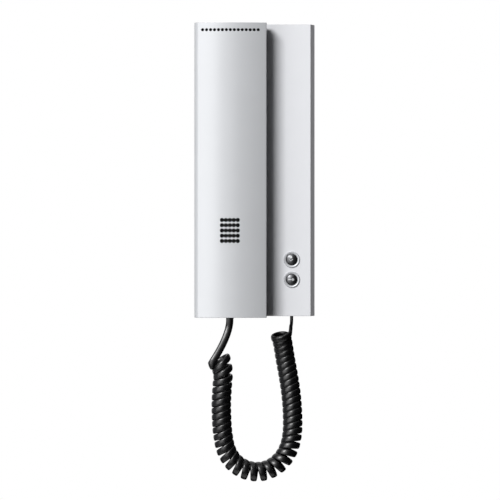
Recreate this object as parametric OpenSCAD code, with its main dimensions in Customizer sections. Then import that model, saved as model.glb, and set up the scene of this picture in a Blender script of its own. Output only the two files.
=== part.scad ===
// Wall intercom phone: a base on the wall, a handset that lies over it, two buttons and a curly cord.
// Millimetres. The wall is the plane y = 0, the phone faces -Y, and Z is up.
// "Depth" means the distance in front of the wall, so y = -depth.

/* [Base] */
// Width of the base at the wall
base_w = 88; // [84:1:98]
// Height of the base
base_h = 215; // [208:1:235]
// Depth of the base from the wall to its front face
base_t = 22; // [21:0.5:27]
// How far each side leans in between the wall and the front face
base_lean = 3; // [1:0.2:4.4]
// Wall thickness of the base cover
base_wall = 2.2; // [1.6:0.1:2.6]
// Thickness of the wall plate
plate_t = 2.5; // [2:0.1:3]
// Clearance between pieces that are fitted into each other
fit_gap = 0.3; // [0.2:0.05:0.4]

/* [Wall fixing] */
// Distance between the two wall screws
wall_screw_pitch = 60; // [54:1:70]
// Diameter of each wall screw hole
wall_hole_d = 4.4; // [3.6:0.1:5.4]
// Width of the window that the door wires come through
window_w = 24; // [16:1:28]
// Height of the window that the door wires come through
window_h = 34; // [20:1:40]

/* [Circuit board] */
// Width of the circuit board
board_w = 31; // [28:1:33]
// Thickness of the circuit board
board_t = 1.6; // [1.2:0.1:1.8]
// Height of the posts that carry the board
post_h = 5.5; // [4.5:0.1:5.8]
// Diameter of the posts that carry the board
post_d = 6; // [5:0.2:7]
// Diameter of every small screw
screw_d = 2.5; // [2:0.1:3]
// Diameter of every small screw head
head_d = 5; // [4.4:0.1:5.4]
// Height of every small screw head
head_h = 1.8; // [1.4:0.1:2]

/* [Handset] */
// Width of the handset
handset_w = 53.4; // [48:0.1:55]
// Length of the handset
handset_l = 217.1; // [208:0.1:230]
// Thickness of the handset at its middle
handset_t = 24.5; // [23:0.5:29]
// Wall thickness of the handset shells
handset_wall = 2.2; // [1.8:0.1:2.6]
// How far the middle of the front face stands above its edges
handset_crown = 5; // [3:0.5:6]
// How far the outer side leans in towards the front face
outer_lean = 1.2; // [1:0.2:3]
// How far the inner side leans in towards the front face
inner_lean = 0.3; // [0.2:0.1:1.5]
// Radius of the rear edges of the handset
rear_round = 5; // [4:0.5:6]
// Radius of the upper rear edge of the handset
rear_top_round = 9; // [4:0.5:9]
// Thickness of the rear shell, from the rear face to the joint between the shells
rear_shell_t = 9.5; // [9:0.5:11]
// How far the handset stands past the side of the base
overhang = 0.8; // [0:0.1:2]
// How far the middle of the handset lies below the middle of the base
handset_drop = 0.1; // [0:0.1:2]
// Gap between the handset and the face of the base
rest_gap = 0.5; // [0.4:0.1:1]
// Angle at which the handset lifts up and out
lift_angle = 35; // [25:1:45]

/* [Sound holes] */
// Number of holes in the top row
vent_count = 15; // [9:2:15]
// Distance between the holes in the top row
vent_pitch = 2.92; // [2.6:0.02:3]
// Diameter of the holes in the top row
vent_d = 2.2; // [1.4:0.1:2.3]
// Distance of the top row from the top of the handset
vent_down = 5.4; // [4.5:0.1:6]
// Number of holes along each side of the grid
grid_count = 5; // [3:2:5]
// Distance between the columns of the grid
grid_pitch_x = 2.9; // [2.9:0.1:3.2]
// Distance between the rows of the grid
grid_pitch_z = 3.85; // [3.4:0.05:4]
// Diameter of the holes in the grid, which run into each other along the rows
grid_d = 3.1; // [1.6:0.1:3.1]
// Distance of the middle of the grid from the bottom of the handset
grid_up = 64.2; // [60:0.1:68]

/* [Buttons] */
// Distance of the buttons from the free side of the base
button_in = 17; // [16:0.5:19]
// Height of the lower button above the bottom of the base
button_up = 26.9; // [26:0.1:32]
// Distance between the two buttons
button_pitch = 14.8; // [13.5:0.1:17]
// Outer diameter of the rings
bezel_d = 12; // [11.6:0.1:13]
// Diameter of the part of a ring that sits in the cover
neck_d = 10.6; // [10.2:0.1:11]
// How far a ring stands above the face of the base
bezel_rise = 0.9; // [0.5:0.1:1.4]
// Diameter of the push caps
cap_d = 8.4; // [7.6:0.1:8.8]
// Height of the domed end of a cap
cap_dome = 1; // [0.6:0.1:1.6]
// Travel of a button
button_travel = 1.2; // [0.8:0.1:1.4]

/* [Hook switch] */
// Distance of the hook plunger from the middle of the base, towards the handset
hook_in = 8; // [6:0.5:12]
// Height of the hook plunger above the middle of the base
hook_up = 53; // [52:0.5:56]
// Diameter of the hook plunger
plunger_d = 4.6; // [4:0.1:5.4]
// Travel of the hook plunger
hook_travel = 3; // [2:0.1:3.2]

/* [Handset hooks] */
// Width of the two hooks that carry the handset
lug_w = 10; // [8:0.5:12]
// Thickness of the hooks
lug_t = 3.2; // [2.6:0.1:3.6]
// Length of the hooks in front of the base
lug_l = 8; // [6:0.5:9]
// Distance of each hook from the middle of the base
lug_z = 40; // [38:0.5:42]

/* [Sound parts] */
// Diameter of the earpiece
ear_d = 30; // [26:1:32]
// Distance of the earpiece from the top of the handset
ear_down = 34; // [34:0.5:36]
// Diameter of the microphone
mic_d = 9.7; // [8:0.1:10.5]
// Distance of the microphone from the bottom of the handset
mic_up = 28.5; // [28:0.5:30]
// Diameter of the tone speaker
speaker_d = 24; // [23:0.5:26]

/* [Cord] */
// Width of the flat cord
cord_w = 3.9; // [3.2:0.1:4]
// Thickness of the flat cord
cord_t = 2.4; // [2:0.1:2.6]
// Outer diameter of the curls
coil_d = 14.6; // [13:0.2:15]
// Number of curls
curls = 42; // [36:1:43]
// How far each curl leans on the upright stretches, as a slope
curl_slope = 0.18; // [0:0.02:0.22]
// Width of the plugs on the cord
plug_w = 7.7; // [7:0.1:8]
// Thickness of the plugs on the cord
plug_t = 6.6; // [6:0.1:6.8]
// Length of the plugs on the cord
plug_l = 12.5; // [11:0.5:13]

/* [Hidden] */
$fn = 48;
cut = 1;          // how far a cut runs past the face it opens
root = 1;         // how far a piece runs into the wall it grows from
bore_gap = 0.05;  // radial clearance of a screw in its pilot hole
slip_gap = 0.15;  // clearance of a plug in its socket
seat_gap = 0.2;   // clearance of a loose part in its ring or ribs

// Depths and heights in the base
inner_d = base_t - base_wall;
base_z0 = -base_h / 2;
board_d0 = plate_t + post_h;
board_d1 = board_d0 + board_t;
board_side = 1.3;
board_x1 = inside_x(board_d1) - board_side;
board_x0 = board_x1 - board_w;
board_z0 = base_z0 + base_wall + board_side;
board_arm = 9;
hook_x = -hook_in;
hook_z = hook_up;
board_z1 = hook_z + board_arm;
post_in = 3.5;
post_low = 16;
post_top = 5;
posts = [
    for (x = [board_x0 + post_in, board_x1 - post_in], z = [board_z0 + post_low, board_z1 - post_top]) [x, z]
];
pilot_depth = 5;
rim_in = 1;
rim_t = 1.6;
rim_h = 3;

// Cover screw and its lug on the wall plate
cover_screw_x = -18;
cover_screw_d = 7.5;
cover_screw_l = 9;
cover_lug_w = 10;
cover_lug_h = 8;

// Parts on the circuit board
block_in = 2;
block_w = 8;
block_t = 8;
block_poles = 6;
block_pole = 5;
block_z0 = -22;
block_screw_d = 2.8;
block_screw_l = 4;
block_sink = 0.4;
block_wire_d = 2.4;
transformer = [14, 9, 14];
transformer_right = 2;
transformer_z = 23;
capacitor_d = 8;
capacitor_h = 8.8;
capacitor_z = 32;
chip = [8, 2.2, 12];
chip_right = 4;
chip_z = -2;

// Buttons
button_x = base_w / 2 - button_in;
door_z = base_z0 + button_up + button_pitch;
light_z = base_z0 + button_up;
bezel_stub = 0.8;
bezel_end = inner_d - bezel_stub;
cap_gap = 0.25;
cap_lip = 0.5;
cap_stop = 0.4;
cap_flange_t = 1;
cap_flange_d = cap_d + 1.6;
cap_flange = bezel_end - cap_stop;
cap_stem_d = 4;
dome_h = 3.4;
dome_gap = 0.2;
dome_r = 5;
dome_foot = 0.8;
dome_pad_r = 2.8;
dome_wall = 0.8;
dome_roof = 1.2;

// Hook switch
hook_flange_d = 11;
hook_flange_t = 1.2;
hook_stop = 0.6;
hook_flange = inner_d - hook_travel - hook_stop;
hook_stem_d = 3;
hook_boss_wall = 1.5;
hook_boss_l = 6.3;
switch_d = 6;
switch_h = 3;
switch_nub_d = 2;
switch_nub_h = 0.3;
tip_gap = 0.3;
spring_d = 8.4;
spring_wire = 0.7;
spring_turns = 3;

// Handset outline
handset_d0 = base_t + rest_gap;
handset_d1 = handset_d0 + handset_t;
joint_d = handset_d0 + rear_shell_t;
handset_x0 = -base_w / 2 - overhang;
handset_x1 = handset_x0 + handset_w;
handset_x = (handset_x0 + handset_x1) / 2;
handset_z0 = -handset_l / 2 - handset_drop;
handset_z1 = handset_z0 + handset_l;
face_x = handset_x + (outer_lean - inner_lean) / 2;
face_half = (handset_w - outer_lean - inner_lean) / 2;
face_r = (pow(face_half, 2) + pow(handset_crown, 2)) / (2 * handset_crown);
face_centre_d = handset_d1 - face_r;
floor_d = handset_d0 + handset_wall;
arc_steps = 5;
face_steps = 20;

// Places along the handset
vent_z = handset_z1 - vent_down;
grid_z = handset_z0 + grid_up;
ear_z = handset_z1 - ear_down;
mic_z = handset_z0 + mic_up;
top_screw_down = 13.5;
low_screw_up = 44.5;
screw_zs = [handset_z1 - top_screw_down, handset_z0 + low_screw_up];
head_sink = 0.6;
screw_seat_d = handset_d0 + head_sink + head_h;
rear_boss_wall = 2;
rear_boss_h = 5.5;
front_boss_d = 6.5;
front_boss_gap = 0.2;
handset_screw_l = 11;
ring_wall = 1.2;
ear_ring_h = 5.3;
ear_t = 8;
ear_magnet_d = 16;
ear_magnet_t = 2;
ear_hole_d = 1.8;
ear_hole_rings = [[4, 6], [8, 12]];
gasket_t = 1;
gasket_w = 3.5;
mic_t = 6;
mic_wall = 1.6;
mic_floor = 0.6;
mic_hole_d = 2.2;
mic_ring_h = 3.3;
speaker_t = 5;
speaker_magnet_d = 13;
speaker_magnet_t = 2;
speaker_ring_h = 5;
screen_space = 0.7;
speaker_reach = speaker_d / 2 + seat_gap;
speaker_front = min(
    depth_inside(handset_x - speaker_reach, handset_wall),
    depth_inside(handset_x + speaker_reach, handset_wall)
) - screen_space;
screen_gap = 0.1;
screen_t = 0.4;
screen_edge = 2;
ballast = [26, 7, 44];
ballast_x0 = handset_x - ballast[0] / 2;
ballast_rib_t = 1.4;
ballast_rib_h = 4.3;

// Modular sockets and plugs
socket_side = 2;
socket_wall = 0.4;
latch_w = 3;
latch_t = 1.1;
latch_l = 9;
socket_w = plug_w + 2 * (slip_gap + socket_side);
socket_t = plug_t + latch_t + 2 * (slip_gap + socket_wall);
socket_h = 13;
socket_gap = 0.3;
plug_lift = socket_wall + slip_gap;
base_socket_z = base_z0 + base_wall + socket_gap;
base_plug_d = board_d1 + plug_lift;
socket_under = 1.4;
handset_socket_d = joint_d - socket_under;
handset_socket_z = handset_z0 + handset_wall + socket_gap;
handset_plug_d = handset_socket_d + plug_lift;

// The route of the cord is drawn for these places of the plugs and moves with them
drawn_x = [-18.1, 27];
drawn_y = [-34.45, -13.45];
drawn_z = [-108.65, -107.5];
// The routes of the leads are drawn for this middle and these ends of the handset
drawn_middle = -18.5;
drawn_ends = [-108.5, 106.5];
plug_x = [handset_x, button_x];
plug_y = [-handset_plug_d - plug_t / 2, -base_plug_d - plug_t / 2];
hang = min(handset_z0 - drawn_z[0], base_z0 - drawn_z[1]);

// Curly cord: the middle line of the curls, from the handset to the base
coil_route = [
    [-26.6, -34, -140.5], [-23.4, -34, -148.5], [-24.2, -33, -160], [-24.8, -32.5, -171],
    [-24.6, -31.6, -182.5], [-23.8, -30.6, -193.5], [-21.2, -29.2, -206], [-15.2, -27.7, -215.4],
    [-6, -26.2, -220.9], [4.6, -24.6, -221.9], [14, -23.2, -218.4], [21.2, -21.9, -211.6],
    [25.6, -20.6, -203], [27.5, -19.4, -193], [27.7, -18.4, -182.5], [27.2, -17.6, -172],
    [26.1, -17.1, -161.5], [24.4, -17, -150.5], [22.4, -17.6, -140], [20.7, -20.4, -130],
    [18.9, -24.4, -121.6]
];
coil_pitches = [
    [0, 6.05], [0.05, 5.85], [0.1, 4.9], [0.2, 4.65], [0.3, 5.2], [0.36, 5.65], [0.42, 6.15], [0.5, 6.15],
    [0.57, 5.45], [0.62, 4.8], [0.68, 4.6], [0.8, 4.55], [0.95, 4.5], [1, 4.35]
];
heading_reach = 5;
curl_rings = 8;
curl_sides = 6;
tail_sides = 8;
route_steps = 10;
coil_r = (coil_d - cord_t) / 2;
ring_count = curls * curl_rings;

// Straight ends of the cord: how far each one keeps its way at the curls and at its plug
handset_tail_reach = [6, 14];
base_tail_reach = [4, 5];
tail_run = 1.5;
tail_steps = 8;

// Leads inside the handset, from the socket to each sound part
lead_d = 1;
lead_apart = 1.6;
earpiece_lead_route = [
    [-22, -34.5, -92.4], [-23, -35, -87], [-33, -35, -75], [-37, -34.5, -52], [-37.5, -34.5, 0],
    [-36, -35, 42], [-31, -37, 58], [-27.6, -37.6, 63], [-26, -36, 65.5]
];
microphone_lead_route = [[-17, -34.5, -92.4], [-16.4, -35, -88], [-16.6, -35.6, -83.4], [-17.2, -34, -80.5]];
speaker_lead_route = [
    [-12.6, -34.5, -92.4], [-11, -34.5, -86], [-8, -34.5, -74], [-8.5, -33.5, -60], [-12, -33, -50],
    [-13.6, -34, -47.5]
];

// Small helpers
function between(v, from, to) = to[0] + (v - from[0]) * (to[1] - to[0]) / (from[1] - from[0]);
function hung(p) = [between(p[0], drawn_x, plug_x), between(p[1], drawn_y, plug_y), p[2] + hang];
function carried_by_handset(p) = [
    p[0] + plug_x[0] - drawn_middle,
    p[1] + plug_y[0] - drawn_y[0],
    p[2] < 0 ? p[2] + handset_z0 - drawn_ends[0] : p[2] + handset_z1 - drawn_ends[1]
];
function inside_x(depth) = base_w / 2 - base_wall - base_lean * depth / base_t;
function unit(v) = v / norm(v);
function across(v, t) = unit(v - (v * t) * t);
function bend_point(b, t) =
    pow(1 - t, 3) * b[0] + 3 * pow(1 - t, 2) * t * b[1] + 3 * (1 - t) * t * t * b[2] + pow(t, 3) * b[3];
function arc(x, d, r, from, to, steps) = [
    for (k = [0:steps]) let (a = from + (to - from) * k / steps) [x + r * cos(a), d + r * sin(a)]
];

// Depth of the handset's front face, or of its inner side, at a given place across
function depth_inside(x, inset) = face_centre_d + sqrt(pow(face_r - inset, 2) - pow(x - face_x, 2));

// Outline of the handset seen along its length, moved inwards by an inset
function handset_outline(inset) =
    let (
        r = rear_round - inset,
        x0 = handset_x0 + inset,
        x1 = handset_x1 - inset,
        d0 = handset_d0 + inset,
        left = x0 + outer_lean,
        right = x1 - inner_lean,
        face_left = atan2(depth_inside(left, inset) - face_centre_d, left - face_x),
        face_right = atan2(depth_inside(right, inset) - face_centre_d, right - face_x),
        outline = concat(
            arc(x0 + r, d0 + r, r, 180, 270, arc_steps),
            arc(x1 - r, d0 + r, r, 270, 360, arc_steps),
            [[x1, joint_d]],
            arc(face_x, face_centre_d, face_r - inset, face_right, face_left, face_steps),
            [[x0, joint_d]]
        )
    )
    [for (p = outline) [p[0], -p[1]]];

// A box between two corners, with depths in front of the wall
module box(x0, x1, d0, d1, z0, z1) {
    translate([x0, -d1, z0]) cube([x1 - x0, d1 - d0, z1 - z0]);
}

// A round rod that points to the front
module rod(x, z, d0, d1, dia) {
    translate([x, -d0, z]) rotate([90, 0, 0]) cylinder(h = d1 - d0, d = dia);
}

// A ring that points to the front
module ring(x, z, d0, d1, outer, inner) {
    difference() {
        rod(x, z, d0, d1, outer);
        rod(x, z, d0 - cut, d1 + cut, inner);
    }
}

// The solid bounded by the handset's outline and its ends, moved inwards by an inset
module handset_block(inset) {
    translate([0, 0, handset_z0 + inset]) linear_extrude(height = handset_l - 2 * inset)
        polygon(handset_outline(inset));
}

// The rear half of that solid, up to a given depth, with its upper rear edge rounded
module rear_block(inset, d1) {
    r = rear_top_round - inset;
    d = handset_d0 + inset + r;
    z = handset_z1 - inset - r;
    difference() {
        handset_block(inset);
        box(-base_w, base_w, d1, handset_d1 + cut, -handset_l, handset_l);
        difference() {
            box(-base_w, base_w, handset_d0 - cut, d, z, handset_z1 + cut);
            translate([-base_w - cut, -d, z]) rotate([0, 90, 0]) cylinder(h = 2 * (base_w + cut), r = r);
        }
    }
}

// Tube along a list of points, with a flat or round section whose wide side follows the given directions
function tube_ring(p, t, wide, half_w, half_t, sides) =
    let (u = across(wide, t), v = cross(t, u))
    [for (k = [0:sides - 1]) p + half_w * cos(360 * k / sides) * u + half_t * sin(360 * k / sides) * v];
function heading(points, i) = unit(points[min(i + 1, len(points) - 1)] - points[max(i - 1, 0)]);
function carried(points, wide) = [
    for (
        i = 0, w = across(wide, heading(points, 0));
        i < len(points);
        w = across(w, heading(points, min(i + 1, len(points) - 1))), i = i + 1
    ) w
];
function tube_points(points, wides, half_w, half_t, sides) = [
    for (i = [0:len(points) - 1])
        each tube_ring(points[i], heading(points, i), wides[i], half_w, half_t, sides)
];
function tube_faces(rings, sides) = concat(
    [for (k = [1:sides - 2]) [0, k, k + 1]],
    [for (i = [0:rings - 2], k = [0:sides - 1]) let (a = i * sides + k, b = i * sides + (k + 1) % sides)
        each [[a, a + sides, b + sides], [a, b + sides, b]]],
    [for (k = [1:sides - 2]) let (a = (rings - 1) * sides) [a, a + k + 1, a + k]]
);
module tube(points, wides, half_w, half_t, sides) {
    polyhedron(
        points = tube_points(points, wides, half_w, half_t, sides),
        faces = tube_faces(len(points), sides)
    );
}

// The middle line of the curls as a smooth line through its route points
hung_route = [for (p = coil_route) hung(p)];
route_last = len(hung_route) - 1;
function route_end(i) = i < 0
    ? 2 * hung_route[0] - hung_route[1]
    : i > route_last
        ? 2 * hung_route[route_last] - hung_route[route_last - 1]
        : hung_route[i];
function smooth(i, t) =
    let (a = route_end(i - 1), b = route_end(i), c = route_end(i + 1), d = route_end(i + 2))
    0.5 * (2 * b + (c - a) * t + (2 * a - 5 * b + 4 * c - d) * t * t + (3 * b - a - 3 * c + d) * t * t * t);
coil_line = [
    for (i = [0:route_last - 1], k = [0:route_steps - 1]) smooth(i, k / route_steps),
    hung_route[route_last]
];
line_last = len(coil_line) - 1;
coil_along = [
    for (
        i = 0, s = 0;
        i <= line_last;
        s = s + norm(coil_line[min(i + 1, line_last)] - coil_line[i]), i = i + 1
    ) s
];
coil_l = coil_along[len(coil_along) - 1];
coil_tables = [for (axis = [0:2]) [for (i = [0:len(coil_line) - 1]) [coil_along[i], coil_line[i][axis]]]];
function line_at(s) = [for (table = coil_tables) lookup(s, table)];
function line_heading(s) =
    unit(line_at(min(s + heading_reach, coil_l)) - line_at(max(s - heading_reach, 0)));

// Where each ring of the curls lies along the middle line: the pitch is wider in the bend
ring_steps = [
    for (k = 0, s = 0; k <= ring_count; s = s + lookup(k / ring_count, coil_pitches), k = k + 1) s
];
ring_along = [for (s = ring_steps) s * coil_l / ring_steps[ring_count]];

// A point of the curls: a right-handed helix that starts on the outer side of the U and leans on its legs
function curl_point(k) =
    let (
        s = ring_along[k],
        a = 180 + 360 * k / curl_rings,
        t = line_heading(s),
        inward = unit([-t[2], 0, t[0]]),
        side = cross(t, inward)
    )
    line_at(s) + coil_r * (cos(a) * inward + sin(a) * side - curl_slope * t[2] * t[2] * cos(a) * t);

// The way the cord runs at a point of the curls
function curl_heading(k) =
    let (
        s = ring_along[k],
        a = 180 + 360 * k / curl_rings,
        t = line_heading(s),
        inward = unit([-t[2], 0, t[0]]),
        side = cross(t, inward),
        rise = coil_l / curls / 2 / PI
    )
    unit(coil_r * (cos(a) * side - sin(a) * inward) + rise * t);

module wall_plate() {
    side = inside_x(plate_t) - fit_gap;
    end = base_h / 2 - base_wall - fit_gap;
    rim_x = inside_x(plate_t + rim_h) - fit_gap - rim_in;
    rim_z = end - rim_in;
    lug_z0 = -end;
    color("dimgray") difference() {
        union() {
            box(-side, side, 0, plate_t, -end, end);
            difference() {
                box(-rim_x, rim_x, plate_t - root, plate_t + rim_h, -rim_z, rim_z);
                box(rim_t - rim_x, rim_x - rim_t, 0, plate_t + rim_h + cut, rim_t - rim_z, rim_z - rim_t);
            }
            for (p = posts) rod(p[0], p[1], plate_t - root, board_d0, post_d);
            box(cover_screw_x - cover_lug_w / 2, cover_screw_x + cover_lug_w / 2, plate_t - root,
                cover_screw_d + cover_lug_w / 2, lug_z0, lug_z0 + cover_lug_h);
        }
        for (side_z = [-1, 1]) rod(0, side_z * wall_screw_pitch / 2, -cut, plate_t + cut, wall_hole_d);
        box(-window_w / 2, window_w / 2, -cut, plate_t + cut, -window_h / 2, window_h / 2);
        for (p = posts) rod(p[0], p[1], board_d0 - pilot_depth, board_d0 + cut, screw_d + 2 * bore_gap);
        translate([cover_screw_x, -cover_screw_d, lug_z0 - cut])
            cylinder(h = cover_lug_h + 2 * cut, d = screw_d + 2 * bore_gap);
    }
}

// A slanted prism along the way the handset lifts: a hook, or the slot that it sits in
module lift_prism(z, clearance, from, to) {
    half = lug_t / 2 + clearance;
    translate([handset_x - lug_w / 2 - clearance, -base_t, z]) rotate([-lift_angle, 0, 0])
        translate([0, -to, -half]) cube([lug_w + 2 * clearance, to - from, 2 * half]);
}

module base_cover() {
    outline = [
        [-base_w / 2, 0], [base_w / 2, 0], [base_w / 2 - base_lean, -base_t],
        [base_lean - base_w / 2, -base_t]
    ];
    rear_lean = base_lean * cut / base_t;
    hollow = [
        [-inside_x(0) - rear_lean, cut], [inside_x(0) + rear_lean, cut], [inside_x(inner_d), -inner_d],
        [-inside_x(inner_d), -inner_d]
    ];
    color("silver") difference() {
        union() {
            difference() {
                translate([0, 0, base_z0]) linear_extrude(height = base_h) polygon(outline);
                translate([0, 0, base_z0 + base_wall])
                    linear_extrude(height = base_h - 2 * base_wall) polygon(hollow);
            }
            intersection() {
                for (side = [-1, 1]) lift_prism(side * lug_z, 0, -base_wall, lug_l);
                box(-base_w, base_w, inner_d + bore_gap, handset_d1, -base_h, base_h);
            }
            ring(hook_x, hook_z, inner_d - hook_boss_l, inner_d + root,
                hook_flange_d + 2 * (fit_gap + hook_boss_wall), hook_flange_d + 2 * fit_gap);
        }
        for (z = [door_z, light_z]) rod(button_x, z, inner_d - cut, base_t + cut, neck_d + 2 * bore_gap);
        rod(hook_x, hook_z, inner_d - hook_boss_l - cut, inner_d, hook_flange_d + 2 * fit_gap);
        rod(hook_x, hook_z, inner_d - cut, base_t + cut, plunger_d + 2 * fit_gap);
        box(button_x - plug_w / 2 - fit_gap, button_x + plug_w / 2 + fit_gap, base_plug_d - fit_gap,
            base_plug_d + plug_t + latch_t + fit_gap, base_z0 - cut, base_z0 + base_wall + cut);
        translate([cover_screw_x, -cover_screw_d, base_z0 - cut])
            cylinder(h = base_wall + 2 * cut, d = screw_d + 2 * seat_gap);
    }
}

// A screw along +Z whose head lies below the origin, with a slot across the head
module small_screw(l) {
    slot_w = 0.8;
    slot_t = 0.8;
    difference() {
        union() {
            translate([0, 0, -head_h]) cylinder(h = head_h, d = head_d);
            translate([0, 0, -root / 2]) cylinder(h = l + root / 2, d = screw_d);
        }
        translate([-head_d, -slot_w / 2, -head_h - cut]) cube([2 * head_d, slot_w, slot_t + cut]);
    }
}

module cover_screw() {
    color("lightgray") translate([cover_screw_x, -cover_screw_d, base_z0]) small_screw(cover_screw_l);
}

module circuit_board() {
    color("darkgreen") difference() {
        union() {
            box(board_x0, board_x1, board_d0, board_d1, board_z0, board_z1);
            box(hook_x - board_arm, board_x0 + root, board_d0, board_d1, hook_z - board_arm, board_z1);
        }
        for (p = posts) rod(p[0], p[1], board_d0 - cut, board_d1 + cut, screw_d + 2 * seat_gap);
    }
}

module board_screws() {
    color("lightgray") for (p = posts)
        translate([p[0], -board_d1, p[1]]) rotate([-90, 0, 0]) small_screw(board_t + pilot_depth - root);
}

block_x0 = board_x0 + block_in;
block_d1 = board_d1 + block_t;
block_x = block_x0 + block_w / 2;
pole_zs = [for (k = [0:block_poles - 1]) block_z0 + block_pole * (k + 0.5)];

module terminal_block() {
    color("darkseagreen") difference() {
        box(block_x0, block_x0 + block_w, board_d1, block_d1, block_z0, block_z0 + block_poles * block_pole);
        for (z = pole_zs) {
            rod(block_x, z, block_d1 - block_sink - block_screw_l, block_d1 + cut,
                block_screw_d + 2 * bore_gap);
            translate([block_x0 - cut, -board_d1 - block_t / 4, z]) rotate([0, 90, 0])
                cylinder(h = block_w / 2 + cut, d = block_wire_d);
        }
    }
}

module terminal_screws() {
    slot = 0.7;
    color("lightgray") for (z = pole_zs) difference() {
        rod(block_x, z, block_d1 - block_sink - block_screw_l, block_d1 - block_sink, block_screw_d);
        box(block_x - block_screw_d, block_x + block_screw_d, block_d1 - block_sink - slot, block_d1,
            z - slot / 2, z + slot / 2);
    }
}

module line_transformer() {
    x1 = board_x1 - transformer_right;
    coil_in = 2;
    color("goldenrod") {
        box(x1 - transformer[0], x1, board_d1, board_d1 + transformer[1] - coil_in, transformer_z,
            transformer_z + transformer[2]);
        box(x1 - transformer[0] + coil_in, x1 - coil_in, board_d1 + transformer[1] - coil_in - root,
            board_d1 + transformer[1], transformer_z + coil_in, transformer_z + transformer[2] - coil_in);
    }
}

module smoothing_capacitor() {
    color("midnightblue")
        rod(block_x + block_in, capacitor_z, board_d1, board_d1 + capacitor_h, capacitor_d);
}

module control_chip() {
    x1 = board_x1 - chip_right;
    color("black") box(x1 - chip[0], x1, board_d1, board_d1 + chip[1], chip_z, chip_z + chip[2]);
}

module hook_switch() {
    color("dimgray") {
        rod(hook_x, hook_z, board_d1, board_d1 + switch_h, switch_d);
        rod(hook_x, hook_z, board_d1 + switch_h - root, board_d1 + switch_h + switch_nub_h, switch_nub_d);
    }
}

// Spring round the hook switch, between the board and the flange of the plunger
module hook_spring() {
    r = spring_wire / 2;
    low = board_d1 + r + slip_gap;
    high = hook_flange - hook_flange_t - r - slip_gap;
    rings = spring_turns * curl_rings;
    line = [
        for (k = [0:rings]) let (a = 360 * k / curl_rings)
            [hook_x + spring_d / 2 * cos(a), -low - (high - low) * k / rings, hook_z + spring_d / 2 * sin(a)]
    ];
    color("lightgray") tube(line, [for (p = line) [0, 1, 0]], r, r, curl_sides);
}

module hook_plunger() {
    stem = board_d1 + switch_h + switch_nub_h + tip_gap;
    color("gray") {
        rod(hook_x, hook_z, stem, hook_flange, hook_stem_d);
        rod(hook_x, hook_z, hook_flange - hook_flange_t, hook_flange, hook_flange_d);
        rod(hook_x, hook_z, hook_flange - root / 2, handset_d0 - tip_gap, plunger_d);
    }
}

// Ring that lines a button hole
module bezel(z) {
    bore = cap_d + 2 * cap_gap;
    color("gainsboro") difference() {
        union() {
            rod(button_x, z, base_t, base_t + bezel_rise, bezel_d);
            rod(button_x, z, bezel_end, base_t + bezel_rise / 2, neck_d);
        }
        rod(button_x, z, bezel_end - cut, base_t + bezel_rise + cut, bore);
    }
}
module door_bezel() { bezel(door_z); }
module light_bezel() { bezel(light_z); }

// Rubber dome that returns a button
module dome(z) {
    wall_r = dome_r - dome_wall;
    color("darkslategray") translate([button_x, -board_d1, z]) rotate([90, 0, 0]) rotate_extrude()
        polygon([
            [dome_r - 2 * dome_wall, 0], [dome_r, 0], [dome_r, dome_foot], [wall_r, dome_foot],
            [dome_pad_r, dome_h - dome_wall], [dome_pad_r, dome_h], [0, dome_h], [0, dome_h - dome_roof],
            [dome_pad_r - dome_wall, dome_h - dome_roof]
        ]);
}
module door_dome() { dome(door_z); }
module light_dome() { dome(light_z); }

// Push cap with a domed end, a stop flange and a stem that reaches its rubber dome
module button_cap(z) {
    top = base_t + bezel_rise + cap_lip;
    cap_r = cap_d / 2;
    dome_sphere = (cap_r * cap_r + cap_dome * cap_dome) / (2 * cap_dome);
    color("slategray") {
        intersection() {
            rod(button_x, z, cap_flange - root / 2, top + cap_dome, cap_d);
            translate([button_x, dome_sphere - top - cap_dome, z]) sphere(dome_sphere);
        }
        rod(button_x, z, cap_flange - cap_flange_t, cap_flange, cap_flange_d);
        rod(button_x, z, board_d1 + dome_h + dome_gap, cap_flange - root / 2, cap_stem_d);
    }
}
module door_button() { button_cap(door_z); }
module light_button() { button_cap(light_z); }

// Modular socket that opens downwards
module modular_socket(x, d0, z0) {
    plug_d0 = d0 + socket_wall;
    plug_d1 = plug_d0 + plug_t + 2 * slip_gap;
    hole_w = plug_w / 2 + slip_gap;
    latch_half = latch_w / 2 + slip_gap;
    depth = plug_l - base_wall - socket_gap + slip_gap;
    color("ivory") difference() {
        box(x - socket_w / 2, x + socket_w / 2, d0, d0 + socket_t, z0, z0 + socket_h);
        box(x - hole_w, x + hole_w, plug_d0, plug_d1, z0 - cut, z0 + depth);
        box(x - latch_half, x + latch_half, plug_d1 - cut, plug_d1 + latch_t, z0 - cut, z0 + depth);
    }
}

// Plug of the cord, with its latch, seen from its cord end at the given height
module modular_plug(x, d0, z0) {
    color("lightcyan") {
        box(x - plug_w / 2, x + plug_w / 2, d0, d0 + plug_t, z0, z0 + plug_l);
        box(x - latch_w / 2, x + latch_w / 2, d0 + plug_t - root, d0 + plug_t + latch_t,
            z0 + plug_l - latch_l, z0 + plug_l);
    }
}
module base_socket() { modular_socket(button_x, board_d1, base_socket_z); }
module base_plug() { modular_plug(button_x, base_plug_d, base_z0); }
module handset_socket() { modular_socket(handset_x, handset_socket_d, handset_socket_z); }
module handset_plug() { modular_plug(handset_x, handset_plug_d, handset_z0); }

// The hole for the plug in the bottom of the handset
module handset_plug_hole() {
    box(handset_x - plug_w / 2 - fit_gap, handset_x + plug_w / 2 + fit_gap, handset_plug_d - fit_gap,
        handset_plug_d + plug_t + latch_t + fit_gap, handset_z0 - cut, handset_z0 + handset_wall + cut);
}

vent_xs = [for (k = [0:vent_count - 1]) handset_x + vent_pitch * (k - (vent_count - 1) / 2)];
grid_steps = [for (k = [0:grid_count - 1]) k - (grid_count - 1) / 2];

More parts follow.
